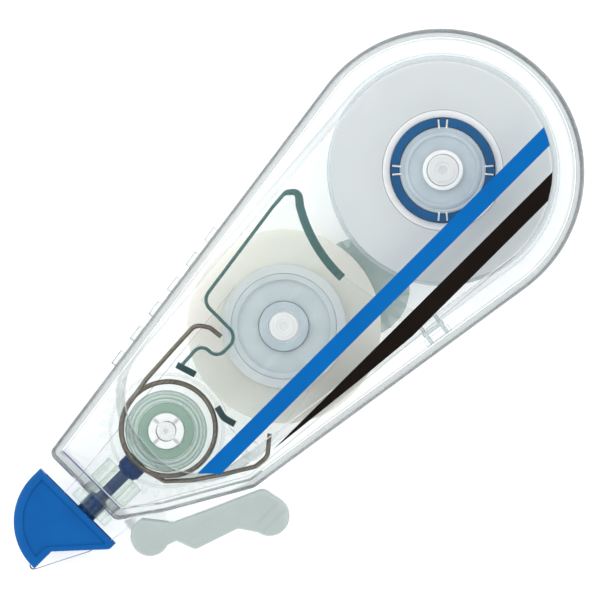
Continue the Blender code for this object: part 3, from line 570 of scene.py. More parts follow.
def clear(
    name,
    through,
    edge,
    haze_and_highlight=0.05,
    haze_and_highlight_colour=(0.9, 0.93, 0.94),
    power=3.0,
    gloss=0.9,
    rough=(0.03, 0.12),
    painted_wall_shade=0.0,
):
    """See-through plastic, darker where it is looked at along its surface, with haze and moulding waves; on
    the posts the haze is a painted highlight, and a grey over the case's walls is painted shade.
    """
    flow = 0.02
    shadow = 0.5
    # Grey mixed in over the case's walls: painted shade.
    wall_shade_colour = (0.30, 0.34, 0.35)
    look = Look(name)
    waves = look.noise(4.0, 2.0, (1, 2.2, 1))
    fine = look.noise(0.2, 3.0)
    normal = look.bump(waves, flow)
    facing = look.put("LayerWeight", {"Blend": 0.5, "Normal": normal}).outputs["Facing"]
    glancing = look.maths("POWER", facing, power)
    tint = look.mix(glancing, through, edge)
    if painted_wall_shade:
        tint = look.mix(look.maths("MULTIPLY", look.wall_share(), painted_wall_shade), tint, wall_shade_colour)
    window = look.put("BsdfTransparent", {"Color": tint})
    mirror = look.put(
        "BsdfGlossy",
        {"Color": (1, 1, 1, 1), "Roughness": look.ramp(fine, *rough, 0.3, 0.7), "Normal": normal},
    )
    fresnel = look.put("Fresnel", {"IOR": 1.49, "Normal": normal}).outputs[0]
    share = look.maths("MULTIPLY", fresnel, gloss)
    skin = look.put("MixShader", {0: share, 1: window.outputs[0], 2: mirror.outputs[0]})
    # The haze: the plastic's own cloudiness, and on the posts a painted highlight.
    haze_and_highlight_mottle = look.mix(look.ramp(waves, 0, 1, 0.3, 0.7), haze_and_highlight_colour, tuple(0.93 * c for c in haze_and_highlight_colour))
    haze_and_highlight_layer = look.put("BsdfPrincipled", {"Base Color": haze_and_highlight_mottle, "Roughness": 0.3, "Normal": normal})
    amount = look.ramp(waves, haze_and_highlight * 0.93, haze_and_highlight * 1.07, 0.3, 0.7)
    body = look.put("MixShader", {0: amount, 1: skin.outputs[0], 2: haze_and_highlight_layer.outputs[0]})
    path = look.put("LightPath").outputs
    lit = look.maths("MAXIMUM", path["Is Shadow Ray"], path["Is Diffuse Ray"])
    passed = tuple(1 - (1 - c) * shadow for c in through)
    open_to_light = look.put("BsdfTransparent", {"Color": (*passed, 1.0)})
    return look.finish(look.put("MixShader", {0: lit, 1: body.outputs[0], 2: open_to_light.outputs[0]}))


def wound(name, colour, shade, centre, pitch=0.12):
    """The side of a roll of tape: fine rings about its axis."""
    rough = 0.4
    depth = 0.01
    look = Look(name)
    ring_number = look.maths("DIVIDE", look.radius_from(centre), pitch * MM)
    noise = {"W": ring_number, "Scale": 1.0, "Detail": 3.0}
    rings = look.put("TexNoise", noise, noise_dimensions="1D").outputs[0]
    slow = look.noise(6.0)
    colour_mix = look.mix(look.ramp(rings, 0, 1, 0.25, 0.75), colour, shade)
    drift = look.mix(look.ramp(slow, 0, 0.5, 0.35, 0.7), colour_mix, shade)
    values = {
        "Base Color": drift,
        "Roughness": look.ramp(rings, rough - 0.08, rough + 0.1, 0.3, 0.7),
        "Normal": look.bump(rings, depth, 0.6),
    }
    return look.finish(look.put("BsdfPrincipled", values))


def metal(name, colour, shade):
    look = Look(name)
    drawn = look.noise(0.25, 4.0, (0.3, 1, 1))
    fine = look.noise(0.05, 3.0)
    values = {
        "Base Color": look.mix(look.ramp(drawn, 0, 1, 0.35, 0.65), colour, shade),
        "Metallic": 1.0,
        "Roughness": look.ramp(fine, 0.22, 0.42, 0.3, 0.7),
        "Normal": look.bump(drawn, 0.004),
    }
    return look.finish(look.put("BsdfPrincipled", values))


def ink(name, colour, shade):
    """Printed ink: thin, slightly uneven cover with a faint screen."""
    look = Look(name)
    screen = look.noise(0.18, 2.0)
    slow = look.noise(5.0)
    base = look.mix(look.ramp(slow, 0, 1, 0.3, 0.7), colour, shade)
    thin = tuple(min(1, 1.2 * c + 0.003) for c in colour)
    base = look.mix(look.ramp(screen, 0.0, 0.25, 0.45, 0.75), base, thin)
    values = {
        "Base Color": base,
        "Roughness": look.ramp(screen, 0.28, 0.4, 0.3, 0.7),
        "Normal": look.bump(screen, 0.003),
        "Specular IOR Level": 0.1,
    }
    return look.finish(look.put("BsdfPrincipled", values))


# The case has painted shade over its walls.
CASE = clear("case_clear", (0.994, 0.998, 0.998), (0.62, 0.665, 0.675), 0.005, power=1.5, painted_wall_shade=0.16)
CLEAR = clear("inner_clear", (0.985, 0.992, 0.99), (0.55, 0.6, 0.61), 0.012)
# The latch's darker grey see-through colour is painted shade.
LATCH = clear("latch_painted_shade", (0.78, 0.82, 0.83), (0.3, 0.35, 0.36), 0.06, power=1.6)
# The posts' milky white is a painted highlight on their clear tops.
POST = clear("post_painted_highlight", (0.97, 0.975, 0.975), (0.55, 0.58, 0.58), 0.72, (0.93, 0.94, 0.94))
BRIDGE = clear("bridge_plate", (0.975, 0.985, 0.98), (0.35, 0.48, 0.48), 0.03, (0.82, 0.9, 0.87))
BRIDGE_WALL = clear("bridge_rim", (0.38, 0.54, 0.53), (0.12, 0.24, 0.25), 0.45, (0.055, 0.14, 0.14))
BRIDGE_LUG = clear(
    "bridge_lug", (0.05, 0.2, 0.21), (0.03, 0.13, 0.14), 0.85, (0.002, 0.042, 0.048), gloss=0.15
)
TINTED = clear("tinted_gear", (0.88, 0.92, 0.91), (0.4, 0.5, 0.5), 0.4, (0.60, 0.69, 0.68))
SLEEVE = clear(
    "sleeve_green", (0.955, 0.98, 0.955), (0.70, 0.80, 0.73), 0.01, (0.80, 0.88, 0.81), gloss=0.25
)
BRAKE_RING = clear("brake_ring", (0.75, 0.85, 0.80), (0.2, 0.32, 0.28), 0.7, (0.28, 0.42, 0.34))
BRAKE_CUP = clear("brake_cup", (0.80, 0.86, 0.83), (0.10, 0.18, 0.16), 0.14, (0.42, 0.53, 0.48), power=1.3)
HUB = plastic("hub_grey", (0.50, 0.58, 0.63), (0.44, 0.52, 0.57), (0.18, 0.3), coat=0.3)
TAKEUP_HUB = plastic("takeup_hub", (0.60, 0.655, 0.68), (0.54, 0.60, 0.63), (0.18, 0.3), coat=0.3)
CORE = clear("core_clear", (0.88, 0.92, 0.94), (0.4, 0.5, 0.55), 0.45, (0.85, 0.88, 0.9))
CLUTCH = plastic("clutch_blue", (0.0, 0.085, 0.235), (0.0, 0.068, 0.195), (0.3, 0.45), specular=0.1)
WHITE = plastic("pom_white", (0.86, 0.87, 0.87), (0.8, 0.81, 0.81), glow=0.2)
CREAM = plastic("pom_cream", (0.95, 0.92, 0.84), (0.92, 0.89, 0.80), (0.3, 0.45), glow=0.26)
STEM = plastic("stem_blue", (0.0, 0.035, 0.14), (0.0, 0.022, 0.1), (0.2, 0.35), specular=0.2)
HEAD = plastic("head_blue", (0.0, 0.102, 0.36), (0.0, 0.09, 0.325), (0.28, 0.42), mottle=4.0, specular=0.2)
GUARD = clear(
    "guard_frost", (0.70, 0.74, 0.73), (0.42, 0.47, 0.46), 0.62, (0.52, 0.585, 0.57), rough=(0.25, 0.4)
)
WIRE = metal("spring_steel", (0.29, 0.25, 0.20), (0.16, 0.14, 0.11))
# The roll of white tape is coloured light grey: painted shade, as it lies in shadow under the clear case.
ROLL = wound("tape_roll", (0.65, 0.68, 0.685), (0.58, 0.615, 0.62), SUPPLY)
LINER_ROLL = wound("liner_roll", (0.70, 0.72, 0.72), (0.60, 0.63, 0.64), TAKEUP, 0.09)
TAPE = plastic("tape_white", (0.72, 0.73, 0.73), (0.66, 0.67, 0.67), (0.35, 0.5), mottle=1.0, depth=0.002)
LINER = clear("liner_film", (0.82, 0.83, 0.83), (0.5, 0.52, 0.52), 0.35, (0.7, 0.71, 0.71))
INK_BLUE = ink("ink_blue", (0.0, 0.125, 0.42), (0.0, 0.11, 0.38))
INK_BLACK = ink("ink_black", (0.005, 0.003, 0.002), (0.009, 0.005, 0.003))


def dressed(obj, look, nodes=(), angle=32):
    """Gives a finished mesh its material and smooth shading, and hides the CAD parts that it stands for."""
    obj.data.materials.clear()
    obj.data.materials.append(look)
    obj.data.shade_smooth()
    obj.data.set_sharp_from_angle(angle=math.radians(angle))
    if nodes:
        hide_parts(*nodes)
    return obj


def piece(obj, body, look, nodes=(), angle=32):
    """Dresses a finished mesh that moves with one body."""
    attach(obj, body)
    dressed(obj, look, nodes, angle)


# Case


def grip_bumps(low, high):
    """Six finger bumps in a row along the upper edge."""
    first = -46.6
    spacing = 3.93
    bumps = []
    for i in range(6):
        x = first + spacing * i
        bump = block((-1.05, -0.7, low), (1.05, 0.6, high), edge=0.18)
        bumps.append(placed(bump, x, top_edge_y(x), TOP_TAPER))
    return bumps


def head_openings():
    """What is cut from the front wall: a hole for the sleeve, and a way out and a way in for the tape."""
    low, high = TAPE_LOW - 0.4, TAPE_HIGH + 0.4
    hole = along_x(lathe([(0, 0), (2.7, 0), (2.7, 4.4), (0, 4.4)], edge=0), FRONT_X - 1.0)
    slit = block((FRONT_X - 1, 4.5, low), (FRONT_X + 2.4, 5.7, high))
    mouth = slab([[(-60.4, -1.8), (-60.4, -5.0), (-57.4, -6.0), (-57.4, -2.5)]], low, high)
    return hole, slit, mouth


def ear(low, high, boss_low, boss_high):
    """A lobe below the front wall, with the boss that the guard turns on."""
    neck = slab([[(-61.0, -2.9), (-61.4, -6.0), (-58.6, -7.9), (-56.2, -5.8), (-57.2, -4.4)]], low, high)
    lobe = slab([circle(PIVOT, EAR_RADIUS, 48)], low, high)
    boss = slab([circle(PIVOT, 1.1, 32)], boss_low, boss_high, edge=0.08)
    return neck, lobe, boss


def post(centre, radius, top):
    """A post of the rear case: a stepped top with a dimple in it."""
    step, groove, hole = radius * 0.78, radius * 0.52, radius * 0.27
    low = FLOOR - 0.4
    profile = [
        (0, low), (radius, low), (radius, top - 0.3), (step, top - 0.3), (step, top), (groove, top),
        (groove, top - 0.35), (hole, top - 0.35), (hole, top - 1.6), (0, top - 1.6),
    ]
    return lathe(profile, centre, "post", 0.06, 64)


def build_rear_case():
    top = SPLIT_Z - 0.15
    rear = round_rim(slab([case_outline()], 0.0, top, "case_rear"), 0.0, 1.0, 6)
    hollow = round_rim(slab([case_outline(WALL, FRONT_STEP)], FLOOR, top + 2), FLOOR, 0.9, 6)
    rear = cut(rear, hollow)
    rear = join(rear, *grip_bumps(1.6, top - 0.3))
    rear = join(rear, *ear(2.6, 4.0, 1.75, 3.1))
    rear = join(rear, post(IDLER, 1.4, 2.9), post(GUIDE_PIN, GUIDE_PIN_RADIUS, TAPE_HIGH + 0.3))
    rear = cut(rear, *head_openings())
    piece(rear, "root", CASE, ["rear_case"])
    for centre, radius, height in ((SUPPLY, 2.0, 12.4), (TAKEUP, 1.8, 12.4), (BRAKE, 1.2, 13.2)):
        piece(post(centre, radius, height), "root", POST, ["rear_case"])


def build_front_case():
    low = SPLIT_Z + 0.15
    ceiling = RIM_Z - WALL
    panel_ceiling = PANEL_Z - WALL
    front = round_rim(slab([case_outline()], low, RIM_Z, "case_front"), RIM_Z, 1.5, 9)
    raised = round_rim(slab([panel_outline()], RIM_Z - 0.5, PANEL_Z), PANEL_Z, 0.75, 6)
    front = join(front, raised)
    hollow = round_rim(slab([case_outline(WALL, FRONT_STEP)], low - 2, ceiling), ceiling, 0.9, 6)
    under = round_rim(slab([panel_outline(-WALL)], RIM_Z - 1.5, panel_ceiling), panel_ceiling, 0.4)
    front = cut(front, hollow, under)
    side_rib = softened([(-8.4, 13.6), (-13.4, 12.9), (-13.8, 10.6)], 1.2, 6, False)
    front_rib = softened([(-13.75, 10.9), (-16.3, 5.5), (-16.9, 0.0), (-16.6, -3.9)], 1.2, 6, False)
    front = join(
        front,
        *grip_bumps(low + 0.3, RIM_Z - 1.4),
        slab([band(side_rib, 0.8)], 5.2, panel_ceiling + 0.25),
        slab([band(front_rib, 0.8)], 5.3, panel_ceiling + 0.3),
    )
    front = join(front, *ear(11.2, 12.6, 12.1, 13.45))
    x = -15.6
    y = bottom_edge_y(x) + WALL
    tab = placed(block((-1.9, 0.3, SPLIT_Z - 3.2), (1.9, 1.2, low + 2.0), edge=0.12), x, y, -BOTTOM_TAPER)
    foot = placed(block((-1.5, -0.4, low + 0.6), (1.5, 0.8, low + 1.8)), x, y, -BOTTOM_TAPER)
    front = join(front, tab, foot)
    legs = [
        block((side - 0.25, 0.4, 12.3), (side + 0.25, 3.6, RIM_Z - 0.7), "case_latch", 0.08)
        for side in (-1.2, 1.2)
    ]
    bar = block((-1.6, 1.6, 12.5), (1.6, 2.1, RIM_Z - 0.8), edge=0.08)
    latch = placed(join(*legs, bar), x, y, -BOTTOM_TAPER)
    piece(latch, "root", LATCH, ["front_case"])
    front = cut(front, *head_openings())
    piece(front, "root", CASE, ["front_case"])


def build_stripes():
    """Two plain printed bands along the panel's lower half; the black one comes to a point at its front."""
    def on_rear(y):
        return (math.sqrt(PRINT_END_RADIUS**2 - y**2), y)

    blue = [(-49.9, -5.25), (-48.6, -6.5), (-47.9, -7.45), *map(on_rear, (-7.45, -6.4, -5.25))]
    piece(slab([blue], PRINT_LOW, PRINT_HIGH, "stripe_blue"), "root", INK_BLUE)
    black = [(-40.9, -9.95), (-27.0, -11.45), (-18.0, -12.3), *map(on_rear, (-12.35, -11.2, -10.1))]
    piece(slab([black], PRINT_LOW, PRINT_HIGH, "stripe_black"), "root", INK_BLACK)


# Gears


def gear_outline(centre, teeth, turn, steps=4):
    """A gear with involute flanks, and with the middle of a tooth at the angle turn."""
    pitch = MODULE * teeth / 2
    pressure = math.radians(PRESSURE_ANGLE)
    base = pitch * math.cos(pressure)
    half_tooth = (math.pi * MODULE / 2 - BACKLASH / 2) / (2 * pitch)
    flank = []
    for i in range(steps + 1):
        radius = pitch - 1.25 * MODULE + 2.25 * MODULE * i / steps
        at = math.acos(min(1.0, base / radius))
        half = half_tooth + (math.tan(pressure) - pressure) - (math.tan(at) - at)
        flank.append((radius, math.degrees(half)))
    points = []
    for tooth in range(teeth):
        middle = turn + 360 * tooth / teeth
        points += [polar(centre, radius, middle - half) for radius, half in flank]
        points += [polar(centre, radius, middle + half) for radius, half in reversed(flank)]
    return points


def meshing_turn(teeth, turn, centre, other_centre, other_teeth):
    """The turn of the gear at other_centre that puts its gap on this gear's tooth."""
    line = bearing(centre, other_centre)
    phase = (line - turn) * teeth / 360
    return line + 180 + (phase % 1.0 + 0.5) * 360 / other_teeth


def gear(centre, teeth, turn, levels, bore, name):
    return slab([gear_outline(centre, teeth, turn), circle(centre, bore, 48)], *levels, name, 0.05, 1)


SUPPLY_TURN = 0.0
TAKEUP_TURN = 0.0
IDLER_TURN = meshing_turn(SUPPLY_TEETH, SUPPLY_TURN, SUPPLY, IDLER, IDLER_TEETH)
PINION_TURN = meshing_turn(IDLER_TEETH, IDLER_TURN, IDLER, TAKEUP, PINION_TEETH)
BRAKE_TURN = meshing_turn(TAKEUP_TEETH, TAKEUP_TURN, TAKEUP, BRAKE, BRAKE_TEETH)


def rolled(outer, inner, centre, name, steps=96):
    """A ring of wound tape."""
    profile = [(outer, TAPE_LOW), (outer, TAPE_HIGH), (inner, TAPE_HIGH), (inner, TAPE_LOW)]
    return lathe(profile, centre, name, 0.06, steps)


def build_supply_reel():
    body = "supply_reel"
    wheel = gear(SUPPLY, SUPPLY_TEETH, SUPPLY_TURN, LOWER_GEARS, 2.15, "supply_wheel")
    piece(wheel, body, HUB, ["supply_gear"])
    hub_profile = [
        (4.5, 11.4), (4.95, 11.2), (5.1, 11.05), (5.25, 11.2), (5.6, 11.2), (5.6, 2.8),
        (4.2, 2.8), (4.2, 10.2), (2.1, 10.2), (2.1, 11.0), (4.3, 11.0),
    ]
    piece(lathe(hub_profile, name="supply_hub"), body, HUB, ["supply_gear"])
    collar = lathe([(2.6, 10.9), (2.6, 11.85), (2.08, 11.85), (2.08, 10.9)], name="supply_collar", edge=0.08)
    piece(collar, body, WHITE, ["supply_gear"])
    clutch_profile = [(6.72, 3.2), (6.72, 11.6), (5.7, 11.6), (5.65, 11.4), (5.65, 3.2)]
    clutch = lathe(clutch_profile, name="clutch_ring", edge=0.07)
    snaps = [45 + 90 * i + side for i in range(4) for side in (-5, 5)]
    slots = [placed(block((5.0, -0.16, 9.4), (7.2, 0.16, 13)), turn=turn) for turn in snaps]
    clutch = cut(clutch, *slots)
    piece(clutch, body, CLUTCH, ["clutch_ring"])
    low, high = (5.4, -0.12, 9.0), (6.55, 0.12, 11.5)
    ribs = [placed(block(low, high, "hub_ribs", 0.03), turn=turn) for turn in snaps]
    piece(join(*ribs), body, WHITE, ["supply_gear"])
    flange_profile = [(FLANGE_RADIUS, 4.3), (FLANGE_RADIUS, 3.8), (6.95, 3.8), (6.95, 4.3)]
    piece(lathe(flange_profile, name="supply_flange"), body, CORE, ["supply_core"])
    tube_profile = [(CORE_RADIUS, 4.25), (CORE_RADIUS, 10.8), (6.78, 10.8), (6.78, 4.25)]
    piece(lathe(tube_profile, name="supply_core"), body, WHITE, ["supply_core"])
    roll = rolled(ROLL_RADIUS, CORE_RADIUS + 0.03, SUPPLY, "supply_roll", 160)
    piece(roll, body, ROLL, ["supply_roll"])


def build_takeup_reel():
    body = "takeup_reel"
    pinion = gear(TAKEUP, PINION_TEETH, PINION_TURN, LOWER_GEARS, 1.95, "takeup_pinion")
    piece(pinion, body, WHITE, ["takeup_pinion"])
    shaft = lathe([(3.2, 2.8), (3.2, 10.7), (1.95, 10.7), (1.95, 2.8)], TAKEUP, "takeup_shaft")
    piece(shaft, body, HUB, ["takeup_pinion"])
    wheel = gear(TAKEUP, TAKEUP_TEETH, TAKEUP_TURN, UPPER_GEARS, 3.25, "takeup_gear")
    flange_profile = [
        (3.25, 3.9), (11.0, 3.9), (11.0, 4.2), (TAKEUP_FLANGE_RADIUS, 4.2), (TAKEUP_FLANGE_RADIUS, 4.45),
        (3.25, 4.45),
    ]
    flange = lathe(flange_profile, TAKEUP, "takeup_flange", 0.08)
    piece(flange, body, CREAM, ["takeup_gear"])
    piece(wheel, body, CREAM, ["takeup_gear"])
    core_profile = [
        (TAKEUP_CORE_RADIUS, TAPE_HIGH), (TAKEUP_CORE_RADIUS, TAPE_LOW), (6.0, TAPE_LOW), (6.0, 9.0),
        (3.25, 9.0), (3.25, 9.9), (6.0, 9.9), (6.0, TAPE_HIGH),
    ]
    core = lathe(core_profile, TAKEUP, "takeup_core")
    piece(core, body, TAKEUP_HUB, ["takeup_core"])
    windings = rolled(TAKEUP_ROLL_RADIUS, TAKEUP_CORE_RADIUS + 0.03, TAKEUP, "takeup_roll")
    piece(windings, body, LINER_ROLL, ["takeup_roll"])


def build_idler():
    flange_profile = [(6.45, 1.5), (6.45, 1.7), (4.8, 1.7), (4.8, 2.1), (1.6, 2.1), (1.6, 1.5)]
    flange = lathe(flange_profile, IDLER, "idler_flange", 0.06)
    piece(flange, "idler", TINTED, ["idler_gear"])
    wheel = gear(IDLER, IDLER_TEETH, IDLER_TURN, LOWER_GEARS, 1.55, "idler_gear")
    piece(wheel, "idler", TINTED, ["idler_gear"])


def build_brake():
    body = "brake_wheel"
    wheel = gear(BRAKE, BRAKE_TEETH, BRAKE_TURN, UPPER_GEARS, 2.55, "brake_gear")
    piece(wheel, body, CLEAR, ["brake_gear"])
    rim = lathe([(7.45, 3.9), (7.45, 4.3), (7.1, 4.3), (7.1, 3.9)], BRAKE, "brake_rim", 0.06)
    piece(rim, body, CLEAR, ["brake_gear"])
    hub = lathe([(2.3, 1.6), (2.3, 13.0), (1.35, 13.0), (1.35, 1.6)], BRAKE, "brake_hub", 0.1, 64)
    notches = [placed(block((1.0, -0.2, 12.3), (2.6, 0.2, 13.6)), *BRAKE, 90 * i) for i in range(4)]
    piece(cut(hub, *notches), body, WHITE, ["brake_hub"])
    core = lathe([(3.6, 4.5), (3.6, 12.5), (2.35, 12.5), (2.35, 4.5)], BRAKE, "brake_drum_core")
    piece(core, body, BRAKE_RING, ["brake_drum"])
    ridges = [polar((radius, 12.55), 0.25, angle) for radius in (4.0, 4.52) for angle in range(180, -1, -30)]
    cup_profile = [
        (3.62, 10.9), (3.62, 12.5), *ridges, (4.85, 12.5), (5.1, 12.4), (5.25, 12.1), (5.25, 10.9)
    ]
    cup = lathe(cup_profile, BRAKE, "brake_drum", 0.02)
    piece(cup, body, BRAKE_CUP, ["brake_drum"])


# Bridge and spring


def build_bridge():
    post_edge = arc(SPRING_POST, 1.5, 100, 290, 12)
    outline = (
        arc(SUPPLY, 18.6, 199, 146, 30)
        + [(-15.9, 11.9), (-17.3, 12.6), (-33.8, 10.1), (-33.8, 5.4), (-35.0, 3.8), (-36.8, 3.8),
           (-37.8, 4.8), (-38.0, 6.4), (-39.6, 6.4)]
        + arc(BRAKE, 8.0, 26, -40, 20)
        + post_edge
        + [(-30.0, -7.6), (-22.0, -7.2)]
    )
    plate = slab([outline, circle(TAKEUP, 2.2, 48)], *BRIDGE_Z, "bridge_plate", 0.08)
    arm = slab([[(-17.6, -5.9), (-19.4, -7.0), (-16.6, -11.6), (-15.0, -10.4)]], *BRIDGE_Z)
    legs = [
        slab([circle((-15.9, 10.9), 0.9, 32)], 1.5, 11.4),
        slab([circle((-15.8, -11.0), 0.9, 32)], 1.5, 11.4),
        slab([circle(SPRING_POST, 0.9, 32)], 1.5, 13.0, edge=0.1),
    ]
    piece(join(plate, arm, *legs), "root", BRIDGE, ["chassis_bridge"])
    thick = arc(SUPPLY, 18.95, 182.0, 149.0, 24)
    corner = softened([thick[-1], (-15.05, 11.2), (-16.4, 12.3), (-19.0, 12.1)], 0.9, 6, False)[1:]
    hook = [(-19.0, 12.1), (-33.8, 10.0), (-33.8, 3.4), (-37.7, 3.4), (-37.7, 6.2), (-41.4, 6.0)]
    thin = softened(hook, 1.6, 8, False)[1:]
    shrinkage = (BRIDGE_RIM - BRIDGE_HOOK) / len(corner)
    shrinking = [BRIDGE_RIM - shrinkage * (i + 1) for i in range(len(corner))]
    widths = [BRIDGE_RIM] * len(thick) + shrinking + [BRIDGE_HOOK] * len(thin)
    rim = slab([band(thick + corner + thin, widths)], BRIDGE_Z[1] - 0.3, 12.9, "bridge_rim", 0.1)
    piece(rim, "root", BRIDGE_WALL)
    for name, path in (
        ("bridge_upper_lug", [(-41.9, 6.5), (-41.4, 4.9), (-41.1, 3.9)]),
        ("bridge_lower_lug", [(-42.05, -1.0), (-42.45, -2.6), (-42.0, -4.2)]),
    ):
        lug = slab([band(softened(path, 1.5, 6, False), 0.85)], BRIDGE_Z[1] - 0.3, 12.8, name, 0.12)
        piece(lug, "root", BRIDGE_LUG)


def build_spring():
    """The wire in one line: its upper leg, its coil downwards, and its lower leg, which climbs to its end."""
    height = SPRING_TURNS * SPRING_PITCH
    top = SPRING_LOW + height
    centre = (BRAKE[0] + 0.4, BRAKE[1])
    steps = round(SPRING_TURNS * 72)
    coil = []
    for i in range(steps + 1):
        done = i / steps
        x, y = polar(centre, SPRING_RADIUS + SPRING_GROWTH * done, SPRING_START + 360 * SPRING_TURNS * done)
        coil.append((x, y, top - height * done))
    upper = [(-35.3, 5.0), (-35.5, 6.9), (-36.6, 8.45), (-41.0, 8.25), (-46.0, 7.95), (-49.0, 7.75)]
    lower = [(-53.6, -3.0), (-51.0, -5.4), (-47.6, -7.7), (-44.0, -9.9), (-42.0, -10.1), (-39.7, -8.2)]
    path = [(x, y, top) for x, y in softened(upper, 1.4, 8, False)[:-1]] + coil
    for x, y in softened(lower, 1.3, 8, False):
        climb = max(0.0, (x + 51.0) / 6.6)
        path.append((x, y, min(12.4, SPRING_LOW + climb)))
    spring = wire(path, WIRE_RADIUS, "torsion_spring")
    piece(spring, "root", WIRE, ["torsion_spring"], 60)


# Head


def build_stem():
    length = STEM_LENGTH
    profile = [
        (0, 0), (1.4, 0), (1.4, length - 7.1), (0.8, length - 6.8), (0.8, length - 2.6),
        (1.4, length - 2.4), (1.4, length - 2.2), (1.65, length - 1.9), (1.65, length), (0, length),
    ]
    stem = lathe(profile, name="head_stem", steps=64)
    piece(along_x(stem, STEM_X), "head_slider", STEM, ["head_stem"])
    profile = [
        (3.0, 6.7), (3.0, 3.4), (2.4, 3.4), (2.4, 1.4), (3.0, 1.4), (3.0, 0.0), (1.6, 0.0), (1.6, 6.7)
    ]
    sleeve = lathe(profile, name="head_sleeve", steps=72)
    piece(along_x(sleeve, -63.3), "root", SLEEVE, ["head_sleeve"])


def build_nose():
    """The head's shell: a quarter round with the blade that presses the tape, hollow above and below it."""
    back = HEAD_BACK_X
    low = HEAD_LOW_Y
    roof_radius = HEAD_RADIUS - 1.0
    outline = (
        [(back, low), (back, STEM_Y + HEAD_RADIUS)]
        + arc(HEAD_CENTRE, HEAD_RADIUS, 90, 180, 40)
        + [(-73.4, 0.9), (-70.3, 0.9)]
        + fillet((-70.3, 0.9), (-64.8, low), (back, low), 0.8)
    )
    half = 3.9
    nose = slab([outline], STEM_Z - half, STEM_Z + half, "head_nose")
    nose = round_rim(round_rim(nose, STEM_Z - half, 0.3, 4), STEM_Z + half, 0.3, 4)
    roof = arc(HEAD_CENTRE, roof_radius, 90, 173, 20)
    above = [(-72.6, 1.75), (-68.5, 2.3), (-67.0, 3.6), (back + 1, 3.6)]
    above = [(back + 1, STEM_Y + roof_radius)] + roof + above
    below = [(-74.5, 0.86), (-68.5, 0.3), (-67.0, -0.9), (back + 1, -0.9), (back + 1, -6), (-74.5, -6)]
    inner = 3.2
    for loop in (above, below):
        nose = cut(nose, slab([loop], STEM_Z - inner, STEM_Z + inner))
    socket = along_x(lathe([(0, 0), (1.55, 0), (1.55, 4.0), (0, 4.0)], edge=0, steps=48), -67.1)
    recess = arc(HEAD_CENTRE, 7.05, 90, 176, 30)
    recess += [(-72.2, 1.8), (-70.4, 1.8), (-64.9, -3.2), (-64.6, -3.2), (-64.6, 8.34)]
    nose = cut(
        nose,
        socket,
        block((-65.0, -2.2, STEM_Z - inner), (back + 1, 4.8, STEM_Z + inner)),
        block((-74.5, 1.7, STEM_Z - inner), (-72.2, 2.8, STEM_Z + inner)),
        slab([recess], STEM_Z + half - 0.22, STEM_Z + half + 1),
        slab([recess], STEM_Z - half - 1, STEM_Z - half + 0.22),
    )
    piece(nose, "head", HEAD, ["head_nose"])


# Tape


def strip(path, name, look, nodes, thickness=0.07, step=0.5):
    """A thin strip of tape on edge along a path, cut into short lengths."""
    fine = [path[0]]
    for start, end in zip(path, path[1:]):
        count = max(1, math.ceil(math.dist(start, end) / step))
        fine += [tuple(Vector(start).lerp(Vector(end), i / count)) for i in range(1, count + 1)]
    return dressed(slab([band(fine, thickness)], TAPE_LOW, TAPE_HIGH, name), look, nodes, 40)


def build_tape():
    """The tape from its roll round the guide pin to the head, round the blade, and back to the take-up."""
    pin = GUIDE_PIN_RADIUS + 0.2
    roll = ROLL_RADIUS + 0.07
    gap = math.dist(GUIDE_PIN, SUPPLY)
    lean = math.degrees(math.asin((roll - pin) / gap))
    leave = bearing(GUIDE_PIN, SUPPLY) - 90 - lean
    lip = [(-57.2, -3.42), (-58.2, -3.5), (-60.9, -3.85), (-62.0, -3.85)]
    path = [polar(SUPPLY, roll, leave), *arc(GUIDE_PIN, pin, leave, leave - 26, 5), *lip]
    feed = strip(path, "tape_feed", TAPE, ["tape_feed_run"])
    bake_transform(feed)

    under = [(-62.05, -3.86), (-63.8, -3.5), (-67.0, -2.5), (-73.0, 0.55), (-73.75, 0.95)]
    over = [(-73.75, 1.6), (-72.6, 2.05), (-68.6, 2.9), (-66.8, 4.6), (-64.7, 5.05), (-62.7, 5.12)]
    path = softened(under + over, 0.6, 5, False)
    loop = strip(path, "tape_loop", TAPE, ["tape_tip_loop"], step=0.4)
    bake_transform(loop)

    enter = (-57.0, 5.55)
    wound_radius = TAKEUP_ROLL_RADIUS + 0.07
    swing = math.degrees(math.acos(wound_radius / math.dist(enter, TAKEUP)))
    touch = polar(TAKEUP, wound_radius, bearing(TAKEUP, enter) - swing)
    path = [(-62.65, 5.12), (-60.5, 5.2), enter, touch]
    liner = strip(path, "tape_return", LINER, ["tape_return_run"])
    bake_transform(liner)


# Guard


def build_guard():
    low, high = GUARD_Z
    corner = fillet((-57.9, -9.5), (-57.0, -12.0), (-51.4, -13.9), 0.9, 8)
    outline = (
        arc(PIVOT, 2.5, 70, 290, 40)
        + [(-57.9, -9.5)]
        + corner
        + fillet((-57.0, -12.0), (-51.2, -13.95), (-49.5, -16.6), 1.2, 8)
        + arc(GUARD_END, 2.57, 190, 372, 36)
        + fillet((-44.6, -15.0), (-45.3, -12.6), (-51.4, -9.9), 1.4, 8)
        + [(-51.4, -9.9), (-56.6, -7.5)]
    )
    guard = slab([outline], low, high, "guard")
    guard = round_rim(round_rim(guard, low, 0.4, 4), high, 0.4, 4)
    hollow = [
        (-54.3, -8.6 - GUARD_WALL), (-51.3, -9.9 - GUARD_WALL), (-46.6, -12.0 - GUARD_WALL),
        (-45.5, -14.0), (-45.6, -16.0), (-46.4, -17.4), (-48.5, -20.0), (-66.0, -20.0), (-66.0, -2.0),
        (-57.0, -2.0), (-57.0, -7.3), (-55.6, -9.0),
    ]
    left, right = GUARD_END[0] - 1.9, GUARD_END[0] + 1.9
    grooves = [
        block((left, y - 0.12, level), (right, y + 0.12, level + 0.72))
        for y in (-15.2, -16.5)
        for level in (low - 0.6, high - 0.12)
    ]
    guard = cut(
        guard,
        slab([hollow], low + 1.0, high - 1.0),
        slab([circle(PIVOT, 1.25, 40)], low + 0.3, high - 0.3),
        *grooves,
    )
    piece(guard, "guard", GUARD, ["guard"])


# Studio


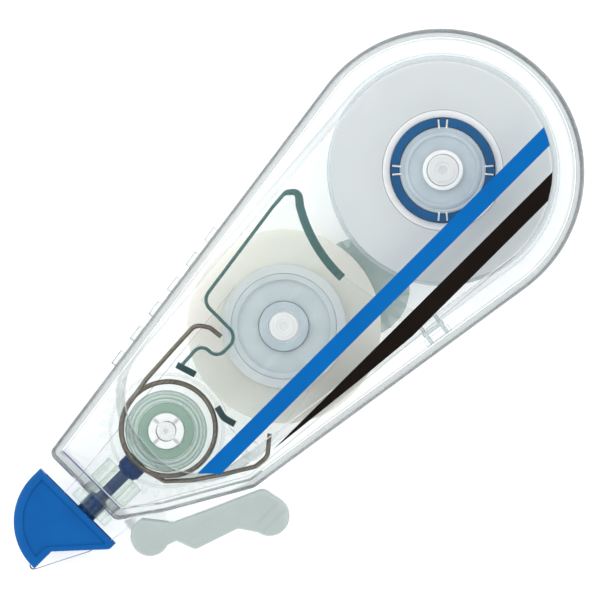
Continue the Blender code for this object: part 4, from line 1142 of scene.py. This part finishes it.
def build_floor():
    """A pale, faintly glowing floor, 3 metres wide, just under the part."""
    look = Look("studio_floor")
    grey = look.mix(look.noise(1.5, 3.0), (0.93, 0.93, 0.93), (0.95, 0.95, 0.95))
    values = {
        "Base Color": grey,
        "Roughness": 0.8,
        "Emission Color": (1.0, 1.0, 1.0, 1.0),
        "Emission Strength": FLOOR_GLOW,
    }
    shader = look.put("BsdfPrincipled", values)
    half = 1.5
    corners = [(-half, -half, 0), (half, -half, 0), (half, half, 0), (-half, half, 0)]
    mesh = bpy.data.meshes.new("studio_floor")
    mesh.from_pydata(corners, [], [(0, 1, 2, 3)])
    floor = to_object("studio_floor", mesh)
    floor.location.z = -0.05 * MM
    floor.data.materials.append(look.finish(shader))


def build_sky():
    """Pale light, greyer at the horizon, with a dark patch straight overhead that flat clear faces mirror."""
    world = bpy.data.worlds.new("studio")
    bpy.context.scene.world = world
    world.use_nodes = True
    tree = world.node_tree
    backdrop = tree.nodes["Background"]
    axes = tree.nodes.new("ShaderNodeSeparateXYZ")
    sky = tree.nodes.new("ShaderNodeValToRGB")
    tree.links.new(tree.nodes.new("ShaderNodeTexCoord").outputs["Generated"], axes.inputs[0])
    tree.links.new(axes.outputs[2], sky.inputs[0])
    tree.links.new(sky.outputs[0], backdrop.inputs["Color"])
    sky.color_ramp.elements[0].position = 0.0
    sky.color_ramp.elements[0].color = (0.55, 0.57, 0.59, 1.0)
    sky.color_ramp.elements[1].position = 0.25
    sky.color_ramp.elements[1].color = (0.96, 0.98, 1.0, 1.0)
    for position, grey in ((0.9, 0.98), (0.975, 0.15)):
        sky.color_ramp.elements.new(position).color = (grey, grey, grey, 1.0)
    backdrop.inputs["Strength"].default_value = SKY_STRENGTH


def build_lights():
    """Two soft square lights that face the part; places and sizes are in metres."""
    aim = Vector((-0.02, 0, 0))
    for name, place, size, power in (
        ("key", (-0.15, 0.45, 0.7), 0.8, 1.7),
        ("fill", (0.35, -0.3, 0.6), 0.8, 0.9),
    ):
        light = bpy.data.lights.new(name, "AREA")
        light.shape = "SQUARE"
        light.size = size
        light.energy = power
        lamp = to_object(name, light)
        lamp.location = place
        lamp.rotation_mode = "QUATERNION"
        lamp.rotation_quaternion = (aim - Vector(place)).to_track_quat("-Z", "Y")


def build_camera():
    """A camera straight above the panel, with +X to the picture's upper right."""
    camera_data = bpy.data.cameras.new("camera")
    camera_data.lens = LENS
    camera_data.sensor_width = SENSOR
    camera_data.clip_end = 10.0
    camera = to_object("camera", camera_data)
    right = Vector((1, -1, 0)).normalized()
    up = Vector((1, 1, 0)).normalized()
    back = right.cross(up)
    basis = Matrix((right, up, back)).transposed().to_4x4()
    distance = VIEW_WIDTH * LENS / SENSOR
    place = Vector(VIEW_CENTRE) + back * distance
    camera.matrix_world = Matrix.Translation(place * MM) @ basis
    bpy.context.scene.camera = camera
    bpy.context.scene.view_settings.view_transform = "Standard"
    bpy.context.scene.cycles.transparent_max_bounces = 48


build_rear_case()
build_front_case()
build_stripes()
build_supply_reel()
build_idler()
build_takeup_reel()
build_brake()
build_bridge()
build_spring()
build_stem()
build_nose()
build_tape()
build_guard()
build_floor()
build_sky()
build_lights()
build_camera()
